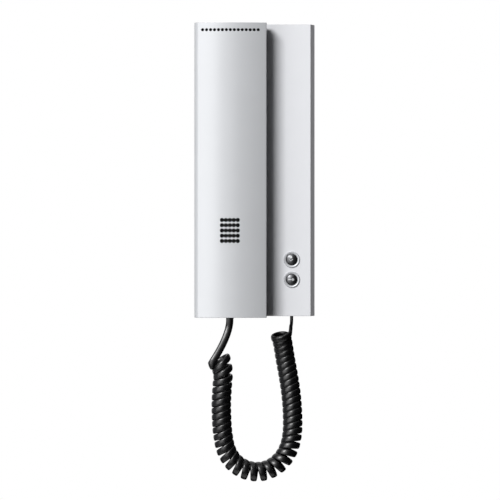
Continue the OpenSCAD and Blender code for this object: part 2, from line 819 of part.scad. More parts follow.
module handset_front_shell() {
    boss_d0 = handset_d0 + rear_boss_h + front_boss_gap;
    color("silver") difference() {
        union() {
            difference() {
                handset_block(0);
                handset_block(handset_wall);
                box(-base_w, base_w, 0, joint_d, -handset_l, handset_l);
            }
            for (z = screw_zs) rod(handset_x, z, boss_d0, handset_d1 - handset_wall + root, front_boss_d);
            intersection() {
                ring(handset_x, grid_z, speaker_front - speaker_ring_h, handset_d1,
                    speaker_d + 2 * (seat_gap + ring_wall), speaker_d + 2 * seat_gap);
                handset_block(handset_wall / 2);
            }
        }
        for (x = vent_xs) rod(x, vent_z, joint_d, handset_d1 + cut, vent_d);
        for (i = grid_steps, k = grid_steps)
            rod(handset_x + i * grid_pitch_x, grid_z + k * grid_pitch_z, speaker_front, handset_d1 + cut,
                grid_d);
        for (z = screw_zs)
            rod(handset_x, z, boss_d0 - cut, screw_seat_d + handset_screw_l + cut, screw_d + 2 * bore_gap);
        handset_plug_hole();
    }
}

module handset_rear_shell() {
    ear_ring = ear_d + 2 * seat_gap;
    mic_ring = mic_d + 2 * (seat_gap + mic_wall) + 2 * seat_gap;
    counterbore = head_d + 2 * seat_gap;
    color("gainsboro") difference() {
        union() {
            difference() {
                rear_block(0, joint_d);
                rear_block(handset_wall, joint_d + cut);
            }
            ring(handset_x, ear_z, floor_d - root, floor_d + ear_ring_h, ear_ring + 2 * ring_wall, ear_ring);
            ring(handset_x, mic_z, floor_d - root, floor_d + mic_ring_h, mic_ring + 2 * ring_wall, mic_ring);
            for (z = screw_zs)
                rod(handset_x, z, floor_d - root, handset_d0 + rear_boss_h,
                    counterbore + 2 * rear_boss_wall);
            for (end = [-1, 1]) {
                near = end * (ballast[2] / 2 + seat_gap);
                far = near + end * ballast_rib_t;
                box(ballast_x0, ballast_x0 + ballast[0], floor_d - root, floor_d + ballast_rib_h,
                    min(near, far), max(near, far));
            }
            box(handset_x - socket_w / 2, handset_x + socket_w / 2, floor_d - root, handset_socket_d,
                handset_socket_z, handset_socket_z + socket_h);
        }
        rod(handset_x, ear_z, handset_d0 - cut, floor_d + cut, ear_hole_d);
        for (circle_of = ear_hole_rings, k = [1:circle_of[1]]) let (a = 360 * k / circle_of[1])
            rod(handset_x + circle_of[0] * cos(a), ear_z + circle_of[0] * sin(a), handset_d0 - cut,
                floor_d + cut, ear_hole_d);
        rod(handset_x, mic_z, handset_d0 - cut, floor_d + cut, mic_hole_d);
        for (z = screw_zs) {
            rod(handset_x, z, handset_d0 - cut, screw_seat_d, counterbore);
            rod(handset_x, z, handset_d0, joint_d, screw_d + 2 * seat_gap);
        }
        for (side = [-1, 1]) lift_prism(side * lug_z, fit_gap, -base_wall, lug_l + lug_t);
        handset_plug_hole();
    }
}

module handset_screws() {
    color("lightgray") for (z = screw_zs)
        translate([handset_x, -screw_seat_d, z]) rotate([90, 0, 0]) small_screw(handset_screw_l);
}

module earpiece_gasket() {
    color("darkslategray") ring(handset_x, ear_z, floor_d, floor_d + gasket_t, ear_d, ear_d - 2 * gasket_w);
}

module earpiece() {
    front = floor_d + gasket_t;
    color("gray") {
        rod(handset_x, ear_z, front, front + ear_t, ear_d);
        rod(handset_x, ear_z, front + ear_t - root, front + ear_t + ear_magnet_t, ear_magnet_d);
    }
}

mic_hole = mic_d + 2 * seat_gap;
mic_front = floor_d + mic_floor;

module microphone_boot() {
    color("black") difference() {
        rod(handset_x, mic_z, floor_d, mic_front + mic_t, mic_hole + 2 * mic_wall);
        rod(handset_x, mic_z, mic_front, mic_front + mic_t + cut, mic_hole);
        rod(handset_x, mic_z, floor_d - cut, mic_front + cut, mic_hole_d);
    }
}

module microphone() {
    color("lightgray") rod(handset_x, mic_z, mic_front, mic_front + mic_t, mic_d);
}

module tone_speaker() {
    rear = speaker_front - speaker_t;
    color("gray") {
        rod(handset_x, grid_z, rear + speaker_magnet_t, speaker_front, speaker_d);
        rod(handset_x, grid_z, rear, rear + speaker_magnet_t + root, speaker_magnet_d);
    }
}

// A thin screen that follows the inner side of the front shell
module screen_layer() {
    difference() {
        handset_block(handset_wall + screen_gap);
        handset_block(handset_wall + screen_gap + screen_t);
    }
}

module speaker_screen() {
    color("black") intersection() {
        screen_layer();
        rod(handset_x, grid_z, joint_d, handset_d1, speaker_d);
    }
}

module vent_screen() {
    half = vent_pitch * (vent_count - 1) / 2 + screen_edge;
    color("black") intersection() {
        screen_layer();
        box(handset_x - half, handset_x + half, joint_d, handset_d1, vent_z - screen_edge,
            vent_z + screen_edge);
    }
}

module ballast_weight() {
    color("dimgray") box(ballast_x0, ballast_x0 + ballast[0], floor_d, floor_d + ballast[1],
        -ballast[2] / 2, ballast[2] / 2);
}

// A pair of thin leads along a route that ends square on the rear of a sound part
module lead_pair(route, end_d) {
    moved = [for (p = route) carried_by_handset(p)];
    last = moved[len(moved) - 1];
    line = concat(moved, [[last[0], -end_d, last[2]]]);
    for (side = [-1, 1]) {
        shifted = [for (p = line) p + [side * lead_apart / 2, 0, 0]];
        tube(shifted, carried(shifted, [1, 0, 0]), lead_d / 2, lead_d / 2, tail_sides);
    }
}
module earpiece_leads() { color("firebrick") lead_pair(earpiece_lead_route, floor_d + gasket_t + ear_t); }
module microphone_leads() { color("royalblue") lead_pair(microphone_lead_route, mic_front + mic_t); }
module speaker_leads() { color("goldenrod") lead_pair(speaker_lead_route, speaker_front - speaker_t); }

// The curls as one unbroken tube with a short straight end at each side
curl_line = [for (k = [0:ring_count]) curl_point(k)];
first_heading = -curl_heading(0);
last_heading = curl_heading(ring_count);
coil_first = curl_line[0] + cord_w * first_heading;
coil_last = curl_line[ring_count] + cord_w * last_heading;
cord_line = concat([coil_first], curl_line, [coil_last]);
cord_wides = [for (k = [-1:ring_count + 1]) line_heading(ring_along[min(max(k, 0), ring_count)])];

// The least distance between points of the curls that aren't neighbours along the cord
function least_gap(points, lines, sides) = min([
    for (i = [0:len(lines) - 1], j = [i + 4:1:min(i + 14, len(lines) - 1)])
        if (norm(lines[i] - lines[j]) < coil_r + cord_w)
            for (a = [0:sides - 1], b = [0:sides - 1]) norm(points[i * sides + a] - points[j * sides + b])
]);

module curly_cord() {
    half_w = cord_w / 2;
    half_t = cord_t / 2;
    points = tube_points(cord_line, cord_wides, half_w, half_t, curl_sides);
    echo(str("least gap of the curly cord to itself: ", least_gap(points, cord_line, curl_sides), " mm"));
    color("black") polyhedron(points = points, faces = tube_faces(len(cord_line), curl_sides));
}

// A straight end of the cord, swept from the end of the curls to the face of its plug
module cord_tail(start, away, wide, reach, end) {
    near = start + tail_run * away;
    far = end - [0, 0, tail_run];
    bend = [near, near + reach[0] * away, far - [0, 0, reach[1]], far];
    line = concat([start], [for (k = [0:tail_steps]) bend_point(bend, k / tail_steps)], [end]);
    color("black") tube(line, carried(line, wide), cord_w / 2, cord_t / 2, tail_sides);
}
module handset_tail() {
    plug_end = [plug_x[0], plug_y[0], handset_z0];
    cord_tail(coil_first, first_heading, cord_wides[0], handset_tail_reach, plug_end);
}
module base_tail() {
    plug_end = [plug_x[1], plug_y[1], base_z0];
    cord_tail(coil_last, last_heading, cord_wides[ring_count + 2], base_tail_reach, plug_end);
}

wall_plate();
base_cover();
cover_screw();
circuit_board();
board_screws();
terminal_block();
terminal_screws();
line_transformer();
smoothing_capacitor();
control_chip();
hook_switch();
hook_spring();
hook_plunger();
door_bezel();
light_bezel();
door_dome();
light_dome();
door_button();
light_button();
base_socket();
base_plug();
handset_front_shell();
handset_rear_shell();
handset_screws();
earpiece();
earpiece_gasket();
microphone();
microphone_boot();
tone_speaker();
speaker_screen();
vent_screen();
ballast_weight();
handset_socket();
handset_plug();
earpiece_leads();
microphone_leads();
speaker_leads();
handset_tail();
curly_cord();
base_tail();
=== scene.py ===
"""Wall intercom phone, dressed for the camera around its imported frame.

Size fields are in millimetres and meshes in metres. "Depth" is the distance in front of the wall, so y = -depth.
"""

import logging
import math
from dataclasses import dataclass
from enum import Enum
from typing import Callable, Sequence

import bmesh
import bpy
from bmesh.types import BMEdge, BMesh, BMVert
from bpy.types import Material, Node, NodeTree, Object
from mathutils import Matrix, Vector
from mathutils.geometry import interpolate_bezier


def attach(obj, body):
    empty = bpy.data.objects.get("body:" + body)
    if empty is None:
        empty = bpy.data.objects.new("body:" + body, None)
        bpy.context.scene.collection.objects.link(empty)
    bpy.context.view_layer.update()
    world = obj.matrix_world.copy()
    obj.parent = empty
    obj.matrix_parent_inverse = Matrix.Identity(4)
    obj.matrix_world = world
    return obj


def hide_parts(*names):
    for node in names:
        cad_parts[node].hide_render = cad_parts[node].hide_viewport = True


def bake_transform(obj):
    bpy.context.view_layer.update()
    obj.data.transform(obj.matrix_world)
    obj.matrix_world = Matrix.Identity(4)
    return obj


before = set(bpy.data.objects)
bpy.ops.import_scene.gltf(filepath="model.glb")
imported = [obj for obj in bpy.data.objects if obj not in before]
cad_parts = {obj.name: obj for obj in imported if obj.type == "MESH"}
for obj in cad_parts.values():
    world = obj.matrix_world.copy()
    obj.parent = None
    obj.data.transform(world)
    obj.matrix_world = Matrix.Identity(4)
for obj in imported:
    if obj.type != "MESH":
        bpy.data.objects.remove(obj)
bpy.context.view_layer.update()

LOG = logging.getLogger("intercom")

Pair = tuple[float, float]
Triple = tuple[float, float, float]

MM = 0.001
ACROSS = Vector((1.0, 0.0, 0.0))
UP = Vector((0.0, 0.0, 1.0))
TO_WALL = Vector((0.0, 1.0, 0.0))
WHITE = (1.0, 1.0, 1.0, 1.0)

# Tolerances in metres: corners that merge, corners on a cutting plane, and tests of place.
DOUBLES = 1e-7
ON_PLANE = 1e-8
CLOSE = 1e-6

# How far a cutter reaches past a face, and how far off the face its rim starts, in millimetres.
PAST = 1.0
SKIM = 0.02

# Sizes that sub-assemblies share, in millimetres, and the slant of the hooks in degrees.
BASE_DEPTH = 22.0
WALL = 2.2
MIDDLE_X = -18.1
HOOK_Z = 40.0
LIFT_ANGLE = 35.0
BUTTON_X = 27.0
DOOR_Z = -65.8
LIGHT_Z = -80.6
PLUNGER_X = -8.0
PLUNGER_Z = 53.0


class Body(str, Enum):
    """The bodies that pieces ride on."""

    BASE = "base"
    HANDSET = "handset"
    PLUNGER = "plunger"
    DOOR = "door_push"
    LIGHT = "light_push"


class Cut(str, Enum):
    """What a second shape does to the first one."""

    AWAY = "DIFFERENCE"
    JOIN = "UNION"


@dataclass(frozen=True)
class Finish:
    """A surface: its colour, gloss and fine grain. Scales are in grains per metre."""

    name: str
    slot: str
    colour: Triple
    roughness: float
    metallic: float = 0.0
    specular: float = 0.5
    mottle: float = 0.02
    mottle_scale: float = 60.0
    mottle_detail: float = 3.0
    grain: float = 0.02
    grain_scale: float = 2600.0
    grain_detail: float = 2.0
    grain_depth: float = 0.00005
    rough_spread: float = 0.05
    least_roughness: float = 0.02

    def material(self) -> Material:
        """Make the finish, or take it where it has been made already.

        Returns:
            The node material of this finish.
        """
        made = bpy.data.materials.get(self.name)
        if made is not None:
            return made
        mat = bpy.data.materials.new(self.name)
        mat.use_nodes = True
        mat.diffuse_color = (*self.colour, 1.0)
        tree = mat.node_tree
        shader = tree.nodes["Principled BSDF"]
        shader.inputs["Metallic"].default_value = self.metallic
        shader.inputs["Specular IOR Level"].default_value = self.specular
        place = tree.nodes.new("ShaderNodeTexCoord")
        cloud = self._noise(tree, place, self.mottle_scale, self.mottle_detail)
        fine = self._noise(tree, place, self.grain_scale, self.grain_detail)
        tint = tree.nodes.new("ShaderNodeMix")
        tint.data_type = "RGBA"
        tint.inputs["A"].default_value = (*(c * (1.0 - self.mottle) for c in self.colour), 1.0)
        tint.inputs["B"].default_value = (*(min(1.0, c * (1.0 + self.mottle)) for c in self.colour), 1.0)
        tree.links.new(cloud.outputs["Fac"], tint.inputs["Factor"])
        tree.links.new(tint.outputs["Result"], shader.inputs["Base Color"])
        gloss = tree.nodes.new("ShaderNodeMapRange")
        gloss.inputs["To Min"].default_value = max(self.least_roughness, self.roughness - self.rough_spread)
        gloss.inputs["To Max"].default_value = min(1.0, self.roughness + self.rough_spread)
        tree.links.new(fine.outputs["Fac"], gloss.inputs["Value"])
        tree.links.new(gloss.outputs["Result"], shader.inputs["Roughness"])
        bump = tree.nodes.new("ShaderNodeBump")
        bump.inputs["Strength"].default_value = self.grain
        bump.inputs["Distance"].default_value = self.grain_depth
        tree.links.new(fine.outputs["Fac"], bump.inputs["Height"])
        tree.links.new(bump.outputs["Normal"], shader.inputs["Normal"])
        return mat

    @staticmethod
    def _noise(tree: NodeTree, place: Node, scale: float, detail: float) -> Node:
        """Add a noise texture on the piece's own coordinates.

        Args:
            tree: The material's nodes.
            place: The node that gives the coordinates.
            scale: Grains per metre.
            detail: Finer layers of the noise.

        Returns:
            The noise node.
        """
        node = tree.nodes.new("ShaderNodeTexNoise")
        node.inputs["Scale"].default_value = scale
        node.inputs["Detail"].default_value = detail
        tree.links.new(place.outputs["Object"], node.inputs["Vector"])
        return node


HANDSET_SILVER = Finish("handset silver", "handset_silver", (0.515, 0.525, 0.543), 0.3, metallic=0.08, grain=0.05)
BASE_SILVER = Finish("base silver", "base_silver", (0.675, 0.683, 0.708), 0.5, specular=0.3, grain=0.05)
RING_SILVER = Finish("ring silver", "ring_silver", (0.5, 0.51, 0.53), 0.45, metallic=0.15, specular=0.3)
CAP_CHROME = Finish("dark polished cap", "cap_chrome", (0.082, 0.083, 0.087), 0.36, metallic=1.0, rough_spread=0.02)
MARK_SILVER = Finish("mark silver", "ring_silver", (0.44, 0.45, 0.46), 0.45, metallic=0.1)
CORD_BLACK = Finish("cord jacket", "cord_black", (0.0015, 0.0015, 0.0018), 0.33, specular=0.5, grain=0.1, mottle=0.15)
PLUG_BLACK = Finish("smoked plug", "plug_black", (0.03, 0.03, 0.032), 0.25, mottle=0.1)
INNER_BLACK = Finish("black moulding", "inner_black", (0.02, 0.02, 0.022), 0.55, mottle=0.15)
SCREEN_BLACK = Finish("wire screen", "screen_black", (0.005, 0.005, 0.005), 0.7, specular=0.2, mottle=0.3, grain=0.4)
PLATE_GREY = Finish("plate moulding", "plate_plastic", (0.16, 0.16, 0.17), 0.6, grain=0.3, mottle=0.05)
ZINC_STEEL = Finish("zinc plated steel", "zinc_steel", (0.6, 0.6, 0.58), 0.32, metallic=1.0, mottle=0.08)
BOARD_GREEN = Finish("solder mask", "board_green", (0.03, 0.16, 0.07), 0.35, mottle=0.15)
TERMINAL_GREEN = Finish("terminal housing", "terminal_green", (0.1, 0.36, 0.18), 0.5, mottle=0.06)
TAPE_YELLOW = Finish("winding tape", "winding_yellow", (0.6, 0.42, 0.08), 0.5, mottle=0.1)
SLEEVE_BLUE = Finish("shrink sleeve", "sleeve_blue", (0.03, 0.05, 0.2), 0.3, mottle=0.1)
RUBBER = Finish("soft rubber", "grey_rubber", (0.08, 0.08, 0.08), 0.8, grain=0.3, mottle=0.08)
CAN_METAL = Finish("drawn can", "capsule_metal", (0.5, 0.5, 0.5), 0.35, metallic=1.0, mottle=0.06)
LEAD_RED = Finish("red insulation", "lead_red", (0.45, 0.03, 0.03), 0.4, mottle=0.1)
LEAD_BLUE = Finish("blue insulation", "lead_blue", (0.03, 0.08, 0.4), 0.4, mottle=0.1)


def at(x: float, depth: float, z: float) -> Vector:
    """Give the point at a place across, a depth in front of the wall and a height, all in millimetres."""
    return Vector((x * MM, -depth * MM, z * MM))


def clamped(share: float) -> float:
    """Keep a share between 0 and 1."""
    return min(1.0, max(0.0, share))


def settle(bm: BMesh) -> None:
    """Merge doubles and turn all faces outwards."""
    bmesh.ops.remove_doubles(bm, verts=bm.verts[:], dist=DOUBLES)
    bmesh.ops.recalc_face_normals(bm, faces=bm.faces[:])


def as_object(bm: BMesh, name: str) -> Object:
    """Turn a bmesh into an object at the origin.

    Args:
        bm: The shape, which is freed.
        name: Name of the object.

    Returns:
        The linked object.
    """
    settle(bm)
    mesh = bpy.data.meshes.new(name)
    bm.to_mesh(mesh)
    bm.free()
    obj = bpy.data.objects.new(name, mesh)
    bpy.context.scene.collection.objects.link(obj)
    return obj


def combine(obj: Object, other: Object, cut: Cut) -> None:
    """Cut a second shape out of an object, or join it on, and delete the second one.

    Args:
        obj: The object that changes.
        other: The shape that cuts or joins.
        cut: Which of the two.
    """
    step = obj.modifiers.new("combine", "BOOLEAN")
    step.object = other
    step.operation = cut.value
    step.solver = "EXACT"
    bpy.context.view_layer.update()
    ready = obj.evaluated_get(bpy.context.evaluated_depsgraph_get())
    mesh = bpy.data.meshes.new_from_object(ready)
    obj.modifiers.clear()
    old, obj.data = obj.data, mesh
    bpy.data.meshes.remove(old)
    mesh.name = obj.name
    spent = other.data
    bpy.data.objects.remove(other)
    bpy.data.meshes.remove(spent)


def dress(obj: Object, finish: Finish, body: Body | None, nodes: Sequence[str] = (), sharp: float = 32.0) -> Object:
    """Give a piece its finish and shading and put it on its body.

    Args:
        obj: The piece.
        finish: Its surface.
        body: The body it moves with, or none where it blends between two.
        nodes: The solids of the frame that it stands for.
        sharp: Edges that turn more than this many degrees stay sharp.

    Returns:
        The piece.
    """
    obj.data.materials.clear()
    obj.data.materials.append(finish.material())
    for face in obj.data.polygons:
        face.material_index = 0
    obj.data.shade_smooth()
    obj.data.set_sharp_from_angle(angle=math.radians(sharp))
    even = obj.modifiers.new("even shading", "WEIGHTED_NORMAL")
    even.keep_sharp = True
    if body is not None:
        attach(obj, body.value)
    if nodes:
        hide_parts(*nodes)
    LOG.info("%s moves with %s", obj.name, "two bodies" if body is None else body.value)
    return obj


def round_edges(bm: BMesh, wanted: Callable[[BMEdge], bool], radius: float, segments: int = 3) -> None:
    """Bevel the edges that a test picks.

    Args:
        bm: The shape.
        wanted: Says whether an edge is rounded.
        radius: Width of the bevel in millimetres.
        segments: Steps across the bevel.
    """
    edges = [e for e in bm.edges if wanted(e)]
    bmesh.ops.bevel(
        bm, geom=edges, offset=radius * MM, offset_type="OFFSET", segments=segments, profile=0.5,
        affect="EDGES", clamp_overlap=True, material=-1,
    )


def spread(count: int, pitch: float) -> list[float]:
    """Give the places of a row about its middle."""
    return [pitch * (k - (count - 1) / 2) for k in range(count)]


def chained(bm: BMesh, verts: list[BMVert], closed: bool = True) -> list[BMEdge]:
    """Join corners by a chain of edges, closed or open."""
    return [bm.edges.new(pair) for pair in zip(verts, verts[1:] + verts[:1] if closed else verts[1:])]


def lathe(bm: BMesh, x: float, z: float, profile: Sequence[Pair], steps: int, ring: bool = False) -> None:
    """Spin a profile about an axis that points to the front.

    Args:
        bm: The shape that grows.
        x: Place of the axis across, in millimetres.
        z: Height of the axis, in millimetres.
        profile: Radius and depth of each corner, in millimetres.
        steps: Steps of the full turn.
        ring: Close the profile on itself, for a ring.
    """
    verts = [bm.verts.new(at(x + r, d, z)) for r, d in profile]
    edges = chained(bm, verts, closed=ring)
    bmesh.ops.spin(
        bm, geom=verts + edges, cent=at(x, 0.0, z), axis=TO_WALL, angle=math.tau, steps=steps, use_merge=True
    )


def block(bm: BMesh, low: Vector, high: Vector) -> list[BMVert]:
    """Add a box between two corners.

    Args:
        bm: The shape that grows.
        low: One corner.
        high: The opposite corner.

    Returns:
        The box's corners.
    """
    size = high - low
    place = Matrix.Translation((low + high) / 2) @ Matrix.Diagonal((abs(size.x), abs(size.y), abs(size.z), 1.0))
    return bmesh.ops.create_cube(bm, size=1.0, matrix=place)["verts"]


def rod(radius: float, near: float, far: float) -> list[Pair]:
    """Give the profile of a round rod between two depths."""
    return [(0.0, near), (radius, near), (radius, far), (0.0, far)]


def pulled(bm: BMesh, edges: Sequence[BMEdge]) -> list[BMVert]:
    """Fill a closed loop of edges and begin a solid on it.

    Args:
        bm: The shape that grows.
        edges: The loop.

    Returns:
        The solid's far corners, which still lie on the loop.
    """
    face = bmesh.ops.contextual_create(bm, geom=edges)["faces"]
    made = bmesh.ops.extrude_face_region(bm, geom=face)["geom"]
    return [g for g in made if isinstance(g, BMVert)]


def drawn_up(bm: BMesh, length: float) -> None:
    """Fill the outline in a bmesh and draw it up into a solid of a length in millimetres."""
    bmesh.ops.translate(bm, verts=pulled(bm, bm.edges[:]), vec=UP * length * MM)
    settle(bm)


def lift_prism(bm: BMesh, x: float, z: float, size: Triple, root: float) -> None:
    """Add a slanted prism along the way the handset lifts.

    Args:
        bm: The shape that grows.
        x: Middle of the prism across.
        z: Height where the prism meets the base's face.
        size: Width, length and thickness.
        root: Length of the prism behind the face.
    """
    width, length, thickness = size
    tilt = Matrix.Rotation(math.radians(-LIFT_ANGLE), 4, "X")
    verts = block(
        bm,
        Vector((-width / 2, root - length, -thickness / 2)) * MM,
        Vector((width / 2, root, thickness / 2)) * MM,
    )
    bmesh.ops.transform(bm, verts=verts, matrix=Matrix.Translation(at(x, BASE_DEPTH, z)) @ tilt)


@dataclass
class Handset:
    """The handset: a curved front shell and a rounded rear shell, hollow, with their sound holes."""

    x0: float = -44.8
    x1: float = 8.6
    z0: float = -108.65
    z1: float = 108.45
    rear: float = 22.5
    front: float = 47.0
    joint: float = 32.0
    crown: float = 5.0
    outer_lean: float = 0.9
    inner_lean: float = 0.3
    rear_round: float = 5.0
    top_round: float = 10.5
    end_round: float = 1.2
    wall: float = WALL
    outer_round: float = 4.0
    inner_edge: float = 0.35
    rim: float = 0.3
    groove: float = 0.2
    vent_count: int = 15
    vent_pitch: float = 2.92
    vent_d: float = 2.2
    vent_down: float = 5.4
    grid_count: int = 5
    grid_pitch: Pair = (2.9, 3.85)
    grid_d: float = 3.1
    grid_x: float = -18.5
    grid_up: float = 64.2
    flare: float = 0.2
    hole_reach: float = 3.0
    ear_down: float = 34.0
    ear_rings: tuple[tuple[float, int], ...] = ((0.0, 1), (4.0, 6), (8.0, 12))
    ear_hole_d: float = 1.8
    mic_up: float = 28.5
    mic_hole_d: float = 2.2
    screw_down: float = 13.5
    screw_up: float = 44.5
    head_hole_d: float = 5.4
    head_seat: float = 24.9
    screw_rim: float = 0.4
    boss_d: float = 9.4
    boss_root: float = 23.5
    boss_end: float = 28.0
    slot: Triple = (10.6, 16.0, 3.8)
    slot_root: float = 4.0
    plug_half: float = 4.15
    plug_depths: Pair = (30.85, 39.15)
    face_steps: int = 56
    edge_steps: int = 14
    corner_steps: int = 10
    top_steps: int = 12
    hole_steps: int = 24
    screw_steps: int = 40

    def __post_init__(self) -> None:
        """Work out the arc of the front face."""
        self.x = (self.x0 + self.x1) / 2
        half = (self.x1 - self.x0 - self.outer_lean - self.inner_lean) / 2
        self.face_x = self.x + (self.outer_lean - self.inner_lean) / 2
        self.face_r = (half**2 + self.crown**2) / (2 * self.crown)
        self.face_centre = self.front - self.face_r

    def face_depth(self, x: float, inset: float = 0.0) -> float:
        """Give the depth of the front face at a place across, or of its inner side."""
        return self.face_centre + math.sqrt((self.face_r - inset) ** 2 - (x - self.face_x) ** 2)

    def front_solid(self, inset: float, open_to: float) -> BMesh:
        """Make the front half of the handset as a solid.

        Args:
            inset: How far it is drawn in from the outer surface.
            open_to: Depth of its flat rear face.

        Returns:
            The solid.
        """
        bm = bmesh.new()
        x0, x1, z = self.x0 + inset, self.x1 - inset, self.z0 + inset
        left, right = x0 + self.outer_lean, x1 - self.inner_lean
        radius, turn = self.face_r - inset, self.outer_round - inset
        foot, centre = Vector((x0, open_to)), Vector((self.face_x, self.face_centre))
        up = (Vector((left, self.face_depth(left, inset))) - foot).normalized()
        inward = Vector((up.y, -up.x))
        way = foot + turn * inward - centre
        rise = math.sqrt(way.dot(up) ** 2 - way.length_squared + (radius - turn) ** 2) - way.dot(up)
        middle = centre + way + rise * up
        facing = (middle - centre).normalized()
        first = bm.verts.new(at(*(middle - turn * inward), z))
        corner = bmesh.ops.spin(
            bm, geom=[first], cent=at(*middle, z), axis=UP, angle=(-inward).angle(facing), steps=self.edge_steps
        )["geom_last"]
        sweep = math.asin((right - self.face_x) / radius) - math.asin(facing.x)
        bmesh.ops.spin(bm, geom=corner, cent=at(*centre, z), axis=UP, angle=sweep, steps=self.face_steps)
        arc = sorted(bm.verts, key=lambda v: v.co.x)
        corners = [bm.verts.new(at(x1, open_to, z)), bm.verts.new(at(x0, open_to, z))]
        chained(bm, [arc[-1], *corners, arc[0]], closed=False)
        drawn_up(bm, self.z1 - self.z0 - 2 * inset)
        return bm

    def rear_solid(self, inset: float, open_to: float) -> BMesh:
        """Make the rear half of the handset as a solid.

        Args:
            inset: How far it is drawn in from the outer surface.
            open_to: Depth of its flat front face.

        Returns:
            The solid.
        """
        bm = bmesh.new()
        x0, x1, z = self.x0 + inset, self.x1 - inset, self.z0 + inset
        rear, radius = self.rear + inset, self.rear_round - inset
        sides = []
        for start, centre in (((x0, rear + radius), x0 + radius), ((x1 - radius, rear), x1 - radius)):
            before = set(bm.verts)
            first = bm.verts.new(at(*start, z))
            bmesh.ops.spin(
                bm, geom=[first], cent=at(centre, rear + radius, z), axis=UP, angle=-math.pi / 2,
                steps=self.corner_steps,
            )
            sides.append(sorted(set(bm.verts) - before, key=lambda v: v.co.x))
        corners = [bm.verts.new(at(x1, open_to, z)), bm.verts.new(at(x0, open_to, z))]
        bm.edges.new((sides[0][-1], sides[1][0]))
        chained(bm, [sides[1][-1], *corners, sides[0][0]], closed=False)
        drawn_up(bm, self.z1 - self.z0 - 2 * inset)
        turn, top = self.top_round - inset, self.z1 - inset
        for k in range(1, self.top_steps):
            a = math.pi / 2 * k / self.top_steps
            edge = at(0.0, rear + turn * (1 - math.sin(a)), top - turn * (1 - math.cos(a)))
            self.cut_off(bm, edge, Vector((0.0, math.sin(a), math.cos(a))))
        return bm

    @staticmethod
    def cut_off(bm: BMesh, point: Vector, facing: Vector) -> None:
        """Cut off what lies in front of a plane and close the cut.

        Args:
            bm: The solid.
            point: A point of the plane.
            facing: The side that goes.
        """
        geom = bm.verts[:] + bm.edges[:] + bm.faces[:]
        cut = bmesh.ops.bisect_plane(
            bm, geom=geom, dist=ON_PLANE, plane_co=point, plane_no=facing, clear_outer=True
        )
        rim = [g for g in cut["geom_cut"] if isinstance(g, BMEdge)]
        if rim:
            bmesh.ops.contextual_create(bm, geom=rim)

    def on_joint(self, edge: BMEdge) -> bool:
        """Say whether an edge lies in the joint between the shells."""
        return all(abs(v.co.y + self.joint * MM) < CLOSE for v in edge.verts)

    def at_end(self, edge: BMEdge) -> bool:
        """Say whether an edge runs round the top or the bottom end."""
        a, b = (v.co.z for v in edge.verts)
        return abs(a - b) < DOUBLES and not self.on_joint(edge)

    def vent_row(self, bm: BMesh) -> None:
        """Add the cutters of the row of holes near the top."""
        z, r = self.z1 - self.vent_down, self.vent_d / 2
        for offset in spread(self.vent_count, self.vent_pitch):
            x = self.x + offset
            top = self.face_depth(x)
            lathe(bm, x, z, [
                (0.0, self.joint), (r, self.joint), (r, top - self.flare), (r + self.flare, top + SKIM),
                (r + self.flare, top + self.hole_reach), (0.0, top + self.hole_reach),
            ], self.hole_steps)

    def grid_row(self, bm: BMesh, z: float) -> None:
        """Add the cutter of one row of the grid, whose holes run into each other.

        Args:
            bm: The shape that grows.
            z: Height of the row in millimetres.
        """
        r, pitch, last = self.grid_d / 2, self.grid_pitch[0], self.grid_count - 1
        neck = math.acos(pitch / 2 / r)
        upper = []
        for i in range(self.grid_count):
            first = math.pi if i == 0 else math.pi - neck
            sweep = first - (0.0 if i == last else neck)
            for k in range(self.hole_steps // 2 + (i == last)):
                a = first - sweep * k / (self.hole_steps // 2)
                upper.append((self.grid_x + pitch * (i - last / 2) + r * math.cos(a), r * math.sin(a)))
        outline = upper + [(x, -h) for x, h in reversed(upper[1:-1])]
        edges = chained(bm, [bm.verts.new(at(x, self.joint, z + h)) for x, h in outline])
        length = self.front + self.hole_reach - self.joint
        bmesh.ops.translate(bm, verts=pulled(bm, edges), vec=-TO_WALL * length * MM)

    def plug_way(self, bm: BMesh) -> None:
        """Add the cutter of the plug's way through the bottom end."""
        near, far = self.plug_depths
        low = at(self.x - self.plug_half, near, self.z0 - PAST)
        block(bm, low, at(self.x + self.plug_half, far, self.z0 + self.wall + PAST))

    def front_shell(self) -> Object:
        """Build the front shell.

        Returns:
            The dressed piece.
        """
        bm = self.front_solid(0.0, self.joint)
        right = self.x1 - self.inner_lean
        corner = at(right, self.face_depth(right), 0.0)
        round_edges(bm, lambda e: all((v.co - corner).xy.length < CLOSE for v in e.verts), self.inner_edge)
        round_edges(bm, self.at_end, self.rim)
        round_edges(bm, self.on_joint, self.groove, segments=1)
        shell = as_object(bm, "handset_face")
        combine(shell, as_object(self.front_solid(self.wall, self.joint - PAST), "hollow"), Cut.AWAY)
        holes = bmesh.new()
        self.vent_row(holes)
        for offset in spread(self.grid_count, self.grid_pitch[1]):
            self.grid_row(holes, self.z0 + self.grid_up + offset)
        combine(shell, as_object(holes, "holes"), Cut.AWAY)
        plug = bmesh.new()
        self.plug_way(plug)
        combine(shell, as_object(plug, "plug_way"), Cut.AWAY)
        return dress(shell, HANDSET_SILVER, Body.HANDSET, ["handset_front_shell"])

